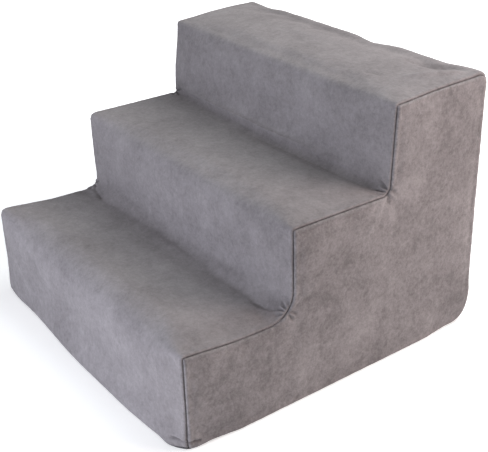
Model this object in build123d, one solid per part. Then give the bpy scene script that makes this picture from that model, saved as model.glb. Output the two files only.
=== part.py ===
from build123d import *

import os
from math import cos, floor, radians

# Pet stairs: three low steps of bonded foam in a fabric cover that unzips at the back.
# X runs across the treads, Y from the front riser to the back, Z up.
# The origin is in the middle of the footprint, on the floor. Sizes are in millimetres.

# Outside of the cover
stair_width = 400.0
lower_tread_depth = 133.0
middle_tread_depth = 132.0
upper_tread_depth = 130.0
lower_nosing_height = 111.0
middle_nosing_height = 202.0
upper_nosing_height = 297.0

# How far the soft treads and the top riser stray from level and plumb
lower_tread_fall = 8.0
lower_tread_sag = 2.0
middle_tread_fall = 1.0
upper_tread_rise = 6.0
upper_tread_crown = 1.5
upper_riser_lean = 5.0

# Bends of the cover, seen from the side
front_foot_radius = 8.0
nosing_radius = 10.0
lower_bridge_radius = 30.0
upper_bridge_radius = 9.0
rear_top_radius = 12.0
rear_heel_radius = 26.0
side_edge_radius = 5.0
inner_edge_bevel = 2.4

# Cover fabric and where its panels are sewn together
fabric_thickness = 1.2
cover_ease = 0.3
seam_angle = 45.0
bottom_seam_height = 3.0
rear_top_seam_drop = 5.0

# Foam
foam_cut_radius = 2.5

# Zip across the back
zip_height = 52.0
slot_end_margin = 28.0
slot_side_gap = 0.5
hem_height = 10.0
hem_tail = 8.0
tape_width = 13.0
tape_thickness = 0.7
tape_spacing = 2.0
tape_room = 0.4
relief_margin = 1.0

# Teeth, one row on each tape
tooth_pitch = 3.2
tooth_thickness = 2.2
tooth_root_reach = 1.7
tooth_tip_gap = 0.15
tooth_root_width = 1.9
tooth_neck_width = 1.36
tooth_head_width = 1.68

# Stops at the ends of the rows
stop_thickness = 3.2
top_stop_length = 2.4
bottom_stop_length = 3.0
stop_inset = 0.8
stop_reach = 2.0
stop_wall = 0.6
stop_gap = 0.3

# Slider
slider_length = 9.5
plate_thickness = 1.0
channel_clearance = 0.25
rim_clearance = 0.3
rim_thickness = 0.9
mouth_flare = 0.9
mouth_corner_radius = 0.8
divider_length = 3.7
divider_width = 1.4
divider_tip_width = 0.6
tape_slot_clearance = 0.3

# Lug on the slider, and the pull that swings on it
lug_length = 5.0
lug_width = 1.6
lug_wall = 0.9
pull_bar_radius = 0.65
pull_bar_clearance = 0.05
pull_lift = 0.95
pull_side_clearance = 0.25
pull_arm_width = 1.3
pull_thickness = 1.3
pull_length = 24.0
pull_tip_width = 7.0
pull_eye_clearance = 0.5
pull_window_length = 7.0
pull_window_width = 2.6
pull_window_inset = 3.4

# How far a cutting block runs past what it cuts
overrun = 20.0

# Places that follow from the sizes above
stair_depth = lower_tread_depth + middle_tread_depth + upper_tread_depth
front_y = -stair_depth / 2
rear_y = stair_depth / 2
middle_nosing_y = front_y + lower_tread_depth
upper_nosing_y = middle_nosing_y + middle_tread_depth
rear_top_height = upper_nosing_height + upper_tread_rise
seam_x = stair_width / 2 - side_edge_radius * (1 - cos(radians(seam_angle)))
foam_inset = fabric_thickness + cover_ease

slot_length = stair_width - 2 * slot_end_margin
tape_outer_y = rear_y - 2 * fabric_thickness
tape_middle_y = tape_outer_y - tape_thickness / 2
tape_inner_y = tape_outer_y - tape_thickness

tape_edge = tape_spacing / 2
tooth_root = tape_edge + tooth_root_reach
tooth_tip = tooth_tip_gap - tape_edge
channel_half_height = tooth_thickness / 2 + channel_clearance
channel_half_width = tooth_root + rim_clearance
slider_half_height = channel_half_height + plate_thickness
slider_half_width = channel_half_width + rim_thickness
mouth_half_width = slider_half_width + mouth_flare
slot_half_height = mouth_half_width + slot_side_gap

top_stop_x = slot_length / 2 - stop_inset - top_stop_length / 2
bottom_stop_x = -slot_length / 2 + stop_inset + bottom_stop_length / 2
slider_front_x = top_stop_x - top_stop_length / 2 - stop_gap
slider_rear_x = slider_front_x - slider_length
divider_tip_x = slider_front_x - divider_length
row_start_x = bottom_stop_x + bottom_stop_length / 2 + tooth_root_width / 2 + stop_gap
row_end_x = divider_tip_x - tooth_root_width / 2 - stop_gap
teeth_per_row = floor((row_end_x - row_start_x) / tooth_pitch - 1 / 2) + 1
slider_travel = slider_rear_x - (bottom_stop_x + bottom_stop_length / 2 + stop_gap)

plate_top_y = tape_middle_y + slider_half_height
hinge_x = (slider_rear_x + slider_front_x) / 2
hinge_y = plate_top_y + pull_thickness / 2 + pull_lift
hinge_hole_radius = pull_bar_radius + pull_bar_clearance


def block(low, high):
    """A block from its lowest corner to its highest."""
    sides = [top - bottom for bottom, top in zip(low, high)]
    middle = [(bottom + top) / 2 for bottom, top in zip(low, high)]
    return Pos(*middle) * Box(*sides)


def on_back(face):
    """Lays a face drawn in X and Z flat against the back, facing outwards."""
    return Plane(origin=(0, 0, 0), x_dir=(1, 0, 0), z_dir=(0, -1, 0)) * face


def stair_outline(inset, lower_bend, upper_bend):
    """Side outline of the stairs, drawn in by inset, with a bend radius for each inner corner."""
    front = front_y + inset
    rear = rear_y - inset
    lower = lower_nosing_height - inset
    middle = middle_nosing_height - inset
    upper = upper_nosing_height - inset
    lower_riser_foot = (middle_nosing_y + inset, lower - lower_tread_fall)
    upper_riser_foot = (upper_nosing_y + inset - upper_riser_lean, middle - middle_tread_fall)
    corners = [
        ((front, inset), front_foot_radius - inset),
        ((front, lower), nosing_radius - inset),
        (lower_riser_foot, lower_bend),
        ((middle_nosing_y + inset, middle), nosing_radius - inset),
        (upper_riser_foot, upper_bend),
        ((upper_nosing_y + inset, upper), nosing_radius - inset),
        ((rear, rear_top_height - inset), rear_top_radius - inset),
        ((rear, inset), rear_heel_radius - inset),
    ]
    points = [point for point, _ in corners]
    lower_tread_middle = (
        (front + middle_nosing_y + inset) / 2,
        lower - lower_tread_fall / 2 - lower_tread_sag,
    )
    upper_tread_middle = (
        (upper_nosing_y + inset + rear) / 2,
        upper + upper_tread_rise / 2 + upper_tread_crown,
    )
    face = make_face(
        [
            Line(points[0], points[1]),
            ThreePointArc(points[1], lower_tread_middle, points[2]),
            Line(points[2], points[3]),
            Line(points[3], points[4]),
            Line(points[4], points[5]),
            ThreePointArc(points[5], upper_tread_middle, points[6]),
            Line(points[6], points[7]),
            Line(points[7], points[0]),
        ]
    )
    for point, radius in corners:
        corner = face.vertices().sort_by_distance(Vector(*point))[0]
        face = fillet(corner, radius)
    return face


def stair_block(inset, lower_bend, upper_bend):
    """The stairs as one soft block, with its long side edges rounded, or bevelled inside the cover."""
    section = Plane.YZ * stair_outline(inset, lower_bend, upper_bend)
    solid = extrude(section, amount=stair_width / 2 - inset, both=True)
    ends = solid.faces().sort_by(Axis.X)
    edges = ends[0].edges() + ends[-1].edges()
    return chamfer(edges, inner_edge_bevel) if inset else fillet(edges, side_edge_radius)


def foam_slabs():
    """Three slabs, bonded one on the other, with room behind the zip."""
    foam = stair_block(foam_inset, foam_cut_radius, foam_cut_radius)
    tail_x = slot_length / 2 + hem_tail + relief_margin
    hem_reach = slot_half_height + hem_height + relief_margin
    tape_relief = block(
        (-tail_x, tape_inner_y - tape_room, zip_height - hem_reach),
        (tail_x, rear_y + overrun, zip_height + hem_reach),
    )
    slider_relief = block(
        (-slot_length / 2, tape_middle_y - slider_half_height - tape_room, zip_height - slot_half_height),
        (slot_length / 2, rear_y + overrun, zip_height + slot_half_height),
    )
    foam = foam - tape_relief - slider_relief
    lower_bond = lower_nosing_height - foam_inset
    middle_bond = middle_nosing_height - foam_inset
    levels = {
        "foam_slab_bottom": (-overrun, lower_bond),
        "foam_slab_middle": (lower_bond, middle_bond),
        "foam_slab_top": (middle_bond, rear_top_height + overrun),
    }
    return {name: foam & level_block(low, high) for name, (low, high) in levels.items()}


def level_block(low, high):
    """Everything in the stairs between two heights."""
    side_x = stair_width / 2 + overrun
    return block((-side_x, front_y - overrun, low), (side_x, rear_y + overrun, high))


def cover_panels():
    """The cover, cut along its seams into the panels that are sewn together."""
    outside = stair_block(0, lower_bridge_radius, upper_bridge_radius)
    inside = stair_block(
        fabric_thickness,
        lower_bridge_radius + fabric_thickness,
        upper_bridge_radius + fabric_thickness,
    )
    skin = outside - inside
    front_limit = front_y - overrun
    rear_limit = rear_y + overrun
    side_limit = stair_width / 2 + overrun
    top_limit = rear_top_height + overrun
    right_side = block((seam_x, front_limit, -overrun), (side_limit, rear_limit, top_limit))
    left_side = block((-side_limit, front_limit, -overrun), (-seam_x, rear_limit, top_limit))
    underside = block(
        (-seam_x, front_limit, -overrun),
        (seam_x, rear_limit, bottom_seam_height),
    )
    heel = block(
        (-seam_x, rear_y - rear_heel_radius, bottom_seam_height),
        (seam_x, rear_limit, rear_heel_radius),
    )
    back = heel + block(
        (-seam_x, rear_y - rear_top_radius, rear_heel_radius),
        (seam_x, rear_limit, rear_top_height - rear_top_seam_drop),
    )
    strip = skin & block((-seam_x, front_limit, -overrun), (seam_x, rear_limit, top_limit))
    back_panel = (strip & back) + hem_layers() - zip_slot()
    above_zip = level_block(zip_height, top_limit)
    return {
        "step_panel": strip - underside - back,
        "side_panel_right": skin & right_side,
        "side_panel_left": skin & left_side,
        "bottom_panel": strip & underside,
        "back_panel_upper": back_panel & above_zip,
        "back_panel_lower": back_panel - above_zip,
    }


def hem_layers():
    """The turned-in edge of both back panels, a second layer along the zip."""
    reach_x = slot_length / 2 + hem_tail
    reach_z = slot_half_height + hem_height
    return block(
        (-reach_x, tape_outer_y, zip_height - reach_z),
        (reach_x, rear_y - fabric_thickness, zip_height + reach_z),
    )


def zip_slot():
    """The gap between the two hems, in which the teeth show and the slider runs."""
    return block(
        (-slot_length / 2, tape_outer_y - overrun, zip_height - slot_half_height),
        (slot_length / 2, rear_y + overrun, zip_height + slot_half_height),
    )


def zip_tape():
    """The upper tape, sewn behind the hem, with its inner edge beside the teeth."""
    reach_x = slot_length / 2 + hem_tail
    return block(
        (-reach_x, tape_inner_y, zip_height + tape_edge),
        (reach_x, tape_outer_y, zip_height + tape_edge + tape_width),
    )


def clamp_on_tape(outline, thickness):
    """A moulded piece of that outline, slotted so that it grips the tape of the upper side."""
    middle = Pos(0, tape_middle_y, zip_height)
    body = middle * extrude(on_back(outline), amount=thickness / 2, both=True)
    return body - zip_tape()


def zip_teeth():
    """The upper row of teeth. The head of each reaches past the middle, between two of the other row."""
    half_root = tooth_root_width / 2
    half_neck = tooth_neck_width / 2
    half_head = tooth_head_width / 2
    tooth = make_face(
        Polyline(
            (-half_root, tooth_root),
            (-half_neck, tape_edge),
            (-half_head, tooth_tip),
            (half_head, tooth_tip),
            (half_neck, tape_edge),
            (half_root, tooth_root),
            close=True,
        )
    )
    moulded = clamp_on_tape(tooth, tooth_thickness)
    return [Pos(row_start_x + count * tooth_pitch, 0, 0) * moulded for count in range(teeth_per_row)]


def below(shape):
    """The matching piece on the other side of the zip's centre line."""
    return mirror(shape, about=Plane.XY.offset(zip_height))


def zip_top_stops():
    """One stop on each tape, in front of the closed slider."""
    stop = Rectangle(top_stop_length, stop_reach + stop_wall)
    outline = Pos(top_stop_x, tape_edge + (stop_reach - stop_wall) / 2) * stop
    upper = clamp_on_tape(outline, stop_thickness)
    return [upper, below(upper)]


def zip_bottom_stop():
    """The stop across both tapes, where the slider ends when the zip is open."""
    stop = Rectangle(bottom_stop_length, 2 * (tape_edge + stop_reach))
    middle = Pos(bottom_stop_x, tape_middle_y, zip_height)
    body = middle * extrude(on_back(stop), amount=stop_thickness / 2, both=True)
    return body - zip_tape() - below(zip_tape())


def zip_slider():
    """Two plates joined by the divider, with rims that hold the teeth in, and the lug for the pull."""
    rear, front = slider_rear_x, slider_front_x
    waist = front - divider_length
    plan = Polyline(
        (rear, slider_half_width),
        (waist, slider_half_width),
        (front, mouth_half_width),
        (front, -mouth_half_width),
        (waist, -slider_half_width),
        (rear, -slider_half_width),
        close=True,
    )
    shell = make_face(plan)
    shell = fillet(shell.vertices().group_by(Axis.X)[0], mouth_corner_radius)
    shell = fillet(shell.vertices().group_by(Axis.X)[-1], mouth_corner_radius)
    channel = make_face(
        Polyline(
            (rear - overrun, channel_half_width),
            (waist, channel_half_width),
            (front, channel_half_width + mouth_flare),
            (front + overrun, channel_half_width + mouth_flare),
            (front + overrun, -channel_half_width - mouth_flare),
            (front, -channel_half_width - mouth_flare),
            (waist, -channel_half_width),
            (rear - overrun, -channel_half_width),
            close=True,
        )
    )
    divider = make_face(
        Polyline(
            (divider_tip_x, divider_tip_width / 2),
            ((divider_tip_x + front) / 2, divider_width / 2),
            (front, divider_width / 2),
            (front, -divider_width / 2),
            ((divider_tip_x + front) / 2, -divider_width / 2),
            (divider_tip_x, -divider_tip_width / 2),
            close=True,
        )
    )
    middle = Pos(0, tape_middle_y, zip_height)
    body = middle * extrude(on_back(shell), amount=slider_half_height, both=True)
    body -= middle * extrude(on_back(channel), amount=channel_half_height, both=True)
    tape_slot = tape_thickness / 2 + tape_slot_clearance
    body -= block(
        (rear - overrun, tape_middle_y - tape_slot, zip_height - mouth_half_width - overrun),
        (front + overrun, tape_middle_y + tape_slot, zip_height + mouth_half_width + overrun),
    )
    body += middle * extrude(on_back(divider), amount=slider_half_height, both=True)
    return body + slider_lug()


def slider_lug():
    """The upright lug on the outer plate, drilled for the pull's bar."""
    eye = Pos(hinge_x, hinge_y) * Circle(hinge_hole_radius + lug_wall)
    foot_y = plate_top_y - plate_thickness / 2
    foot = Pos(hinge_x, (foot_y + plate_top_y) / 2) * Rectangle(lug_length, plate_top_y - foot_y)
    outline = make_hull((eye + foot).edges())
    outline -= Pos(hinge_x, hinge_y) * Circle(hinge_hole_radius)
    return Pos(0, 0, zip_height) * extrude(outline, amount=lug_width / 2, both=True)


def zip_pull():
    """The stamped pull: two arms and a bar round the lug, a tab with a window beyond them."""
    arm_inner = lug_width / 2 + pull_side_clearance
    arm_outer = arm_inner + pull_arm_width
    eye_end = lug_length / 2 + pull_eye_clearance
    neck = eye_end + pull_arm_width
    tip_radius = pull_tip_width / 2
    tab = make_face(
        Polyline(
            (0, arm_outer),
            (-neck, arm_outer),
            (tip_radius - pull_length, tip_radius),
            (tip_radius - pull_length, -tip_radius),
            (-neck, -arm_outer),
            (0, -arm_outer),
            close=True,
        )
    )
    tab += Pos(tip_radius - pull_length, 0) * Circle(tip_radius)
    tab -= Pos(-eye_end / 2, 0) * Rectangle(eye_end, 2 * arm_inner)
    window_x = pull_window_inset + pull_window_length / 2 - pull_length
    tab -= Pos(window_x, 0) * SlotOverall(pull_window_length, pull_window_width)
    at_hinge = Pos(hinge_x, hinge_y, zip_height)
    plate = at_hinge * extrude(on_back(tab), amount=pull_thickness / 2, both=True)
    bar = at_hinge * extrude(Circle(pull_bar_radius), amount=arm_outer, both=True)
    return plate + bar


def save(name, pieces):
    """Writes one sub-part. A sub-part of several solids is written as a group."""
    solids = [solid for piece in pieces for solid in piece.solids()]
    shape = solids[0] if len(solids) == 1 else Compound(solids)
    export_step(shape, f"parts/{name}.step")


def main():
    os.makedirs("parts", exist_ok=True)
    tape = zip_tape()
    teeth = zip_teeth()
    half_pitch = Pos(tooth_pitch / 2, 0, 0)
    nodes = {
        **foam_slabs(),
        **cover_panels(),
        "zip_tape_upper": tape,
        "zip_tape_lower": below(tape),
        "zip_bottom_stop": zip_bottom_stop(),
        "zip_slider": zip_slider(),
        "zip_pull": zip_pull(),
    }
    for name, shape in nodes.items():
        save(name, [shape])
    save("zip_teeth_upper", teeth)
    save("zip_teeth_lower", [half_pitch * below(tooth) for tooth in teeth])
    save("zip_top_stops", zip_top_stops())
    print(f"overall {stair_width} x {stair_depth} x {rear_top_height} mm")
    print(f"{teeth_per_row} teeth a row, slider travel {slider_travel:.2f} mm")
    print(f"pull hinge at x {hinge_x:.2f}, y {hinge_y:.2f}, z {zip_height:.2f} mm")


main()
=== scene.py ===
"""Foam pet stairs in a zipped suede-look cover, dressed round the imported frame.

The cover is one skin, worked out from the side outline of the stairs and the bends of its edges. A cloth
simulation pushes the skin out between its seams, and folds, puckers and seam valleys are then worked into it.
The skin is cut into the panels that are sewn together. Sizes are in metres. X runs across the treads, Y from
the front riser to the back, Z up.
"""

import logging
import math
from dataclasses import dataclass, field, replace
from enum import Enum
from typing import Any, Iterable, Mapping, Sequence

import bmesh
import bpy
import numpy as np
from mathutils import Matrix, Vector, geometry, noise
from mathutils.bvhtree import BVHTree
from mathutils.kdtree import KDTree


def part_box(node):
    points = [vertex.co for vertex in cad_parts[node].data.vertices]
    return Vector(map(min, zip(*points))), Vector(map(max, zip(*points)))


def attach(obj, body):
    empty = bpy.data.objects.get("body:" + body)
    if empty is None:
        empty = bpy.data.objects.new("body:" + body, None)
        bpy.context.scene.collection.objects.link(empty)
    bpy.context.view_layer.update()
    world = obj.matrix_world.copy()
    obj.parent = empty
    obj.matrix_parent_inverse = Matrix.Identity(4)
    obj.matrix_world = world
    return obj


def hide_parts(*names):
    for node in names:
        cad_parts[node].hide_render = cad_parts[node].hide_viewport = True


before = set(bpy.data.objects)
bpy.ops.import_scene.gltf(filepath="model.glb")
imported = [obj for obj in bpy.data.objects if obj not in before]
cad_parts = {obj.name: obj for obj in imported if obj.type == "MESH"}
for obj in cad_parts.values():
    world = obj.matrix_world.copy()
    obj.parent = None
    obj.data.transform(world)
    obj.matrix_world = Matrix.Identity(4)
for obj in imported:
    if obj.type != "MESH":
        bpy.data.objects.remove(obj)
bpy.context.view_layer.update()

log = logging.getLogger("pet_stairs")

Colour = tuple[float, float, float]
Point = tuple[float, float, float]
Faces = list[tuple[int, ...]]
STAIRS = "stairs"


class Seam(Enum):
    """Lines across the outline at which one panel of the cover ends and the next begins."""

    FRONT_BOTTOM = "front_bottom"
    REAR_TOP = "rear_top"
    ZIP_UPPER = "zip_upper"
    ZIP_LOWER = "zip_lower"
    REAR_BOTTOM = "rear_bottom"
    CLOSING = "closing"


class Bend(Enum):
    """Corners of the side outline, in order from the front foot."""

    FOOT = 0
    LOWER_NOSING = 1
    LOWER_INNER = 2
    MIDDLE_NOSING = 3
    UPPER_INNER = 4
    UPPER_NOSING = 5
    REAR_TOP = 6
    HEEL = 7


class Side(Enum):
    """The two sides of the stairs, seen from the front."""

    RIGHT = 1
    LEFT = -1


def smooth_step(value: np.ndarray | float) -> np.ndarray | float:
    """Eases from 0 to 1 as the value goes from 0 to 1."""
    held = np.clip(value, 0.0, 1.0)
    return held * held * (3.0 - 2.0 * held)


def rising(value: np.ndarray | float, start: float, reach: float) -> np.ndarray | float:
    """Eases from 0 to 1 over a reach that begins at a start."""
    return smooth_step((value - start) / reach)


def bell(value: np.ndarray) -> np.ndarray:
    """Falls off smoothly from 1 at zero towards 0 on both sides."""
    return np.exp(-(value**2))


def graded_steps(length: float, step: float, fine: float, at_start: bool, at_end: bool) -> np.ndarray:
    """Divides a length into steps that are fine at its marked ends.

    Args:
        length: Length to divide.
        step: Usual step.
        fine: Step at a marked end.
        at_start: Whether the steps start fine.
        at_end: Whether the steps end fine.

    Returns:
        Places from 0 to 1 along the length, both ends included.
    """
    growth, pucker_step, pucker_reach = 1.32, 0.0010, 0.013
    ramp = []
    size = fine
    while size < step and sum(ramp) < length / 4:
        ramp.append(size)
        if size < pucker_step or sum(ramp) > pucker_reach:
            size *= growth
    start = ramp if at_start else []
    end = ramp[::-1] if at_end else []
    rest = length - sum(start) - sum(end)
    count = max(1, round(rest / step))
    sizes = np.array(start + [rest / count] * count + end)
    places = np.concatenate([[0.0], np.cumsum(sizes)])
    return places / places[-1]


@dataclass(frozen=True)
class BendRadii:
    """Radius of one bend of the outline where the seams hold it, and in the middle of the width."""

    at_seam: float
    in_middle: float
    reach: float = 0.055

    def at(self, from_seam: float) -> float:
        """Radius at a distance from the side seam."""
        ease = smooth_step(from_seam / self.reach)
        return self.at_seam + (self.in_middle - self.at_seam) * ease


@dataclass
class Outline:
    """The stairs seen from the side, as a closed line of points at one place across the width."""

    points: np.ndarray
    normals: np.ndarray
    lengths: np.ndarray
    marks: dict[Enum, float]

    def at(self, places: np.ndarray) -> tuple[np.ndarray, np.ndarray]:
        """Finds points and outward directions at lengths along the outline.

        Args:
            places: Lengths from the outline's start. They may run past its end, on to the next turn.

        Returns:
            The points and the unit directions, each as rows of Y and Z.
        """
        round_trip = self.lengths[-1]
        turns = np.mod(places, round_trip)
        points = np.stack([np.interp(turns, self.lengths, self.points[:, i]) for i in (0, 1)], axis=1)
        normals = np.stack([np.interp(turns, self.lengths, self.normals[:, i]) for i in (0, 1)], axis=1)
        return points, normals / np.linalg.norm(normals, axis=1, keepdims=True)


@dataclass
class StairForm:
    """Outside of the covered stairs: heights, depths and bends. Overall places come from the frame."""

    lower_tread_depth: float = 0.133
    middle_tread_depth: float = 0.132
    lower_nosing_height: float = 0.111
    middle_nosing_height: float = 0.202
    upper_nosing_height: float = 0.297
    lower_tread_fall: float = 0.008
    lower_tread_sag: float = 0.0025
    middle_tread_fall: float = 0.001
    upper_tread_crown: float = 0.0015
    upper_riser_lean: float = 0.005
    side_edge_radius: float = 0.005
    seam_angle: float = math.radians(45)
    bottom_seam_height: float = 0.003
    rear_top_seam_drop: float = 0.005
    fabric_thickness: float = 0.0012
    zip_height: float = 0.052
    slot_half_length: float = 0.172
    slot_half_height: float = 0.0053
    slot_taper: float = 0.008
    bends: dict[Bend, BendRadii] = field(
        default_factory=lambda: {
            Bend.FOOT: BendRadii(0.004, 0.005),
            Bend.LOWER_NOSING: BendRadii(0.0035, 0.020, 0.075),
            Bend.LOWER_INNER: BendRadii(0.027, 0.030),
            Bend.MIDDLE_NOSING: BendRadii(0.0035, 0.012),
            Bend.UPPER_INNER: BendRadii(0.009, 0.017),
            Bend.UPPER_NOSING: BendRadii(0.0035, 0.0075),
            Bend.REAR_TOP: BendRadii(0.010, 0.016),
            Bend.HEEL: BendRadii(0.027, 0.027),
        }
    )

    def __post_init__(self) -> None:
        """Takes the overall places from the frame."""
        low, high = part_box("side_panel_right")
        self.half_width = high.x
        self.front = low.y
        self.rear = high.y
        self.rear_top_height = high.z

    @property
    def flat_half_width(self) -> float:
        """Half of the width at which the side edges start to bend."""
        return self.half_width - self.side_edge_radius

    @property
    def half_girth(self) -> float:
        """Length over the strip from its middle to a side seam."""
        return self.flat_half_width + self.side_edge_radius * self.seam_angle

    def corners(self) -> np.ndarray:
        """Corners of the outline before they are bent, as rows of Y and Z."""
        middle_nosing = self.front + self.lower_tread_depth
        upper_nosing = middle_nosing + self.middle_tread_depth
        return np.array(
            [
                (self.front, 0.0),
                (self.front, self.lower_nosing_height),
                (middle_nosing, self.lower_nosing_height - self.lower_tread_fall),
                (middle_nosing, self.middle_nosing_height),
                (upper_nosing - self.upper_riser_lean, self.middle_nosing_height - self.middle_tread_fall),
                (upper_nosing, self.upper_nosing_height),
                (self.rear, self.rear_top_height),
                (self.rear, 0.0),
            ]
        )

    def slot_opening(self, x: float) -> float:
        """Half height of the gap between the zip's hems at a place across the back."""
        return self.slot_half_height * float(1.0 - rising(abs(x), self.slot_half_length, self.slot_taper))

    def from_zip(self, points: np.ndarray) -> np.ndarray:
        """Height above or below the zip's middle for points on the back, and a metre for all others."""
        on_back = points[:, 1] > self.rear - 1e-4
        return np.where(on_back, np.abs(points[:, 2] - self.zip_height), 1.0)

    def _radius(self, bend: Bend, from_seam: float, roundest: float) -> float:
        """Radius of one bend, no less than the least one where it turns outwards."""
        inward = bend in (Bend.LOWER_INNER, Bend.UPPER_INNER)
        return max(self.bends[bend].at(from_seam), 0.0 if inward else roundest)

    def outline(self, from_seam: float, x: float, roundest: float = 0.0) -> Outline:
        """Works out the side outline at one place across the width.

        Args:
            from_seam: Distance over the strip from the side seam, which sets the bends.
            x: Place across the width, which sets the opening of the zip.
            roundest: Least radius of the bends that turn outwards.

        Returns:
            The closed outline, with the lengths at which its seams and bends lie.
        """
        arc_points, edge_points = 24, 48
        corners = self.corners()
        steps = np.roll(corners, -1, axis=0) - corners
        edge_lengths = np.linalg.norm(steps, axis=1)
        ahead = steps / edge_lengths[:, None]
        radii = [self._radius(bend, from_seam, roundest) for bend in Bend]
        turns = [
            math.atan2(into[0] * out[1] - into[1] * out[0], float(into @ out))
            for into, out in zip(np.roll(ahead, 1, axis=0), ahead)
        ]
        reaches = [radius * math.tan(abs(turn) / 2) for radius, turn in zip(radii, turns)]
        shares = np.linspace(0.0, 1.0, edge_points)[1:-1, None]
        points, bend_index = [], []
        for i, turn in enumerate(turns):
            following = (i + 1) % len(turns)
            into, out = ahead[i - 1], ahead[i]
            sideways = np.array([-into[1], into[0]]) * math.copysign(1.0, turn)
            angles = np.linspace(0.0, abs(turn), arc_points)[:, None]
            arc = np.sin(angles) * into + (1 - np.cos(angles)) * sideways
            bend_index.append(len(points) + arc_points // 2)
            points.extend(corners[i] - into * reaches[i] + radii[i] * arc)
            edge_start = corners[i] + out * reaches[i]
            edge_end = corners[following] - out * reaches[following]
            points.extend(edge_start + shares * (edge_end - edge_start))
        line = np.array(points)
        arched = {Bend.LOWER_NOSING: -self.lower_tread_sag, Bend.UPPER_NOSING: self.upper_tread_crown}
        for bend, swell in arched.items():
            i = bend.value
            along = (line - corners[i]) @ ahead[i] / edge_lengths[i]
            stretch = np.zeros(len(line), bool)
            stretch[bend_index[i] : bend_index[i + 1]] = True
            rise = np.where(stretch, swell * np.sin(np.pi * np.clip(along, 0, 1)) ** 2, 0.0)
            line += rise[:, None] * np.array([-ahead[i][1], ahead[i][0]])
        closed = np.vstack([line, line[:1]])
        lengths = np.concatenate([[0.0], np.cumsum(np.linalg.norm(np.diff(closed, axis=0), axis=1))])
        tangents = np.roll(line, -1, axis=0) - np.roll(line, 1, axis=0)
        tangents /= np.linalg.norm(tangents, axis=1, keepdims=True)
        normals = np.stack([-tangents[:, 1], tangents[:, 0]], axis=1)
        outline = Outline(closed, np.vstack([normals, normals[:1]]), lengths, {})
        for bend, index in zip(Bend, bend_index):
            outline.marks[bend] = float(lengths[index])
        self._mark_seams(outline, self.slot_opening(x))
        return outline

    def _mark_seams(self, outline: Outline, opening: float) -> None:
        """Finds the lengths along an outline at which it passes the heights of the seams.

        Args:
            outline: Outline to mark.
            opening: Half height of the gap for the zip.
        """
        marks, heights = outline.marks, outline.points[:, 1]
        hem_edge = opening + self.fabric_thickness
        rear_top, heel = marks[Bend.REAR_TOP], marks[Bend.HEEL]
        levels = {
            Seam.FRONT_BOTTOM: (self.bottom_seam_height, 0.0, marks[Bend.LOWER_NOSING]),
            Seam.REAR_TOP: (self.rear_top_height - self.rear_top_seam_drop, rear_top, heel),
            Seam.ZIP_UPPER: (self.zip_height + hem_edge, rear_top, heel),
            Seam.ZIP_LOWER: (self.zip_height - hem_edge, rear_top, heel),
            Seam.REAR_BOTTOM: (self.bottom_seam_height, rear_top, outline.lengths[-1]),
        }
        for seam, (level, start, end) in levels.items():
            inside = (outline.lengths >= start) & (outline.lengths <= end)
            reached, places = heights[inside], outline.lengths[inside]
            past = reached >= level if seam is Seam.FRONT_BOTTOM else reached <= level
            first = int(np.argmax(past))
            share = (level - reached[first - 1]) / (reached[first] - reached[first - 1])
            marks[seam] = float(places[first - 1] + share * (places[first] - places[first - 1]))
        marks[Seam.CLOSING] = marks[Seam.FRONT_BOTTOM] + float(outline.lengths[-1])


@dataclass
class Patch:
    """A stretch of the skin at rest: its points, which way they face, and how far each is from a seam."""

    points: np.ndarray
    normals: np.ndarray
    seam: np.ndarray
    faces: Faces

    def joined(self, other: "Patch") -> "Patch":
        """This patch and another one as one, with their points still apart."""
        shift = len(self.points)
        moved = [tuple(i + shift for i in face) for face in other.faces]
        return Patch(
            np.vstack([self.points, other.points]),
            np.vstack([self.normals, other.normals]),
            np.concatenate([self.seam, other.seam]),
            self.faces + moved,
        )

    def welded(self, reach: float = 5e-5) -> "Patch":
        """This patch with points that lie in the same place made one."""
        keys = np.round(self.points / reach).astype(np.int64)
        _, first, inverse = np.unique(keys, axis=0, return_index=True, return_inverse=True)
        inverse = inverse.reshape(-1)
        faces = []
        for face in self.faces:
            corners = [int(inverse[i]) for i in face]
            kept = [c for i, c in enumerate(corners) if c != corners[i - 1]]
            if len(kept) > 2:
                faces.append(tuple(kept))
        return Patch(self.points[first], self.normals[first], self.seam[first], faces)


def grid_faces(index: np.ndarray) -> Faces:
    """Faces of a grid of points.

    Args:
        index: Number of each point, row by row.

    Returns:
        Four point numbers for each face.
    """
    corners = (index[:-1, :-1], index[:-1, 1:], index[1:, 1:], index[1:, :-1])
    return [tuple(face) for face in np.stack(corners, axis=-1).reshape(-1, 4).tolist()]


def ring_faces(rings: int, count: int, capped: bool = True) -> Faces:
    """Faces between closed rings of points, stored ring by ring.

    Args:
        rings: Number of rings.
        count: Points in each ring.
        capped: Whether the first and the last ring are closed by a face.

    Returns:
        Point numbers of each face.
    """
    index = np.arange(rings * count).reshape(rings, count)
    faces = grid_faces(np.hstack([index, index[:, :1]]))
    if capped:
        faces.append(tuple(range(count))[::-1])
        faces.append(tuple(range((rings - 1) * count, rings * count)))
    return faces


def tree_of(points: Iterable[Sequence[float]]) -> KDTree:
    """A tree that finds the nearest of some points."""
    listed = list(points)
    tree = KDTree(len(listed))
    for i, point in enumerate(listed):
        tree.insert(point, i)
    tree.balance()
    return tree


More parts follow.
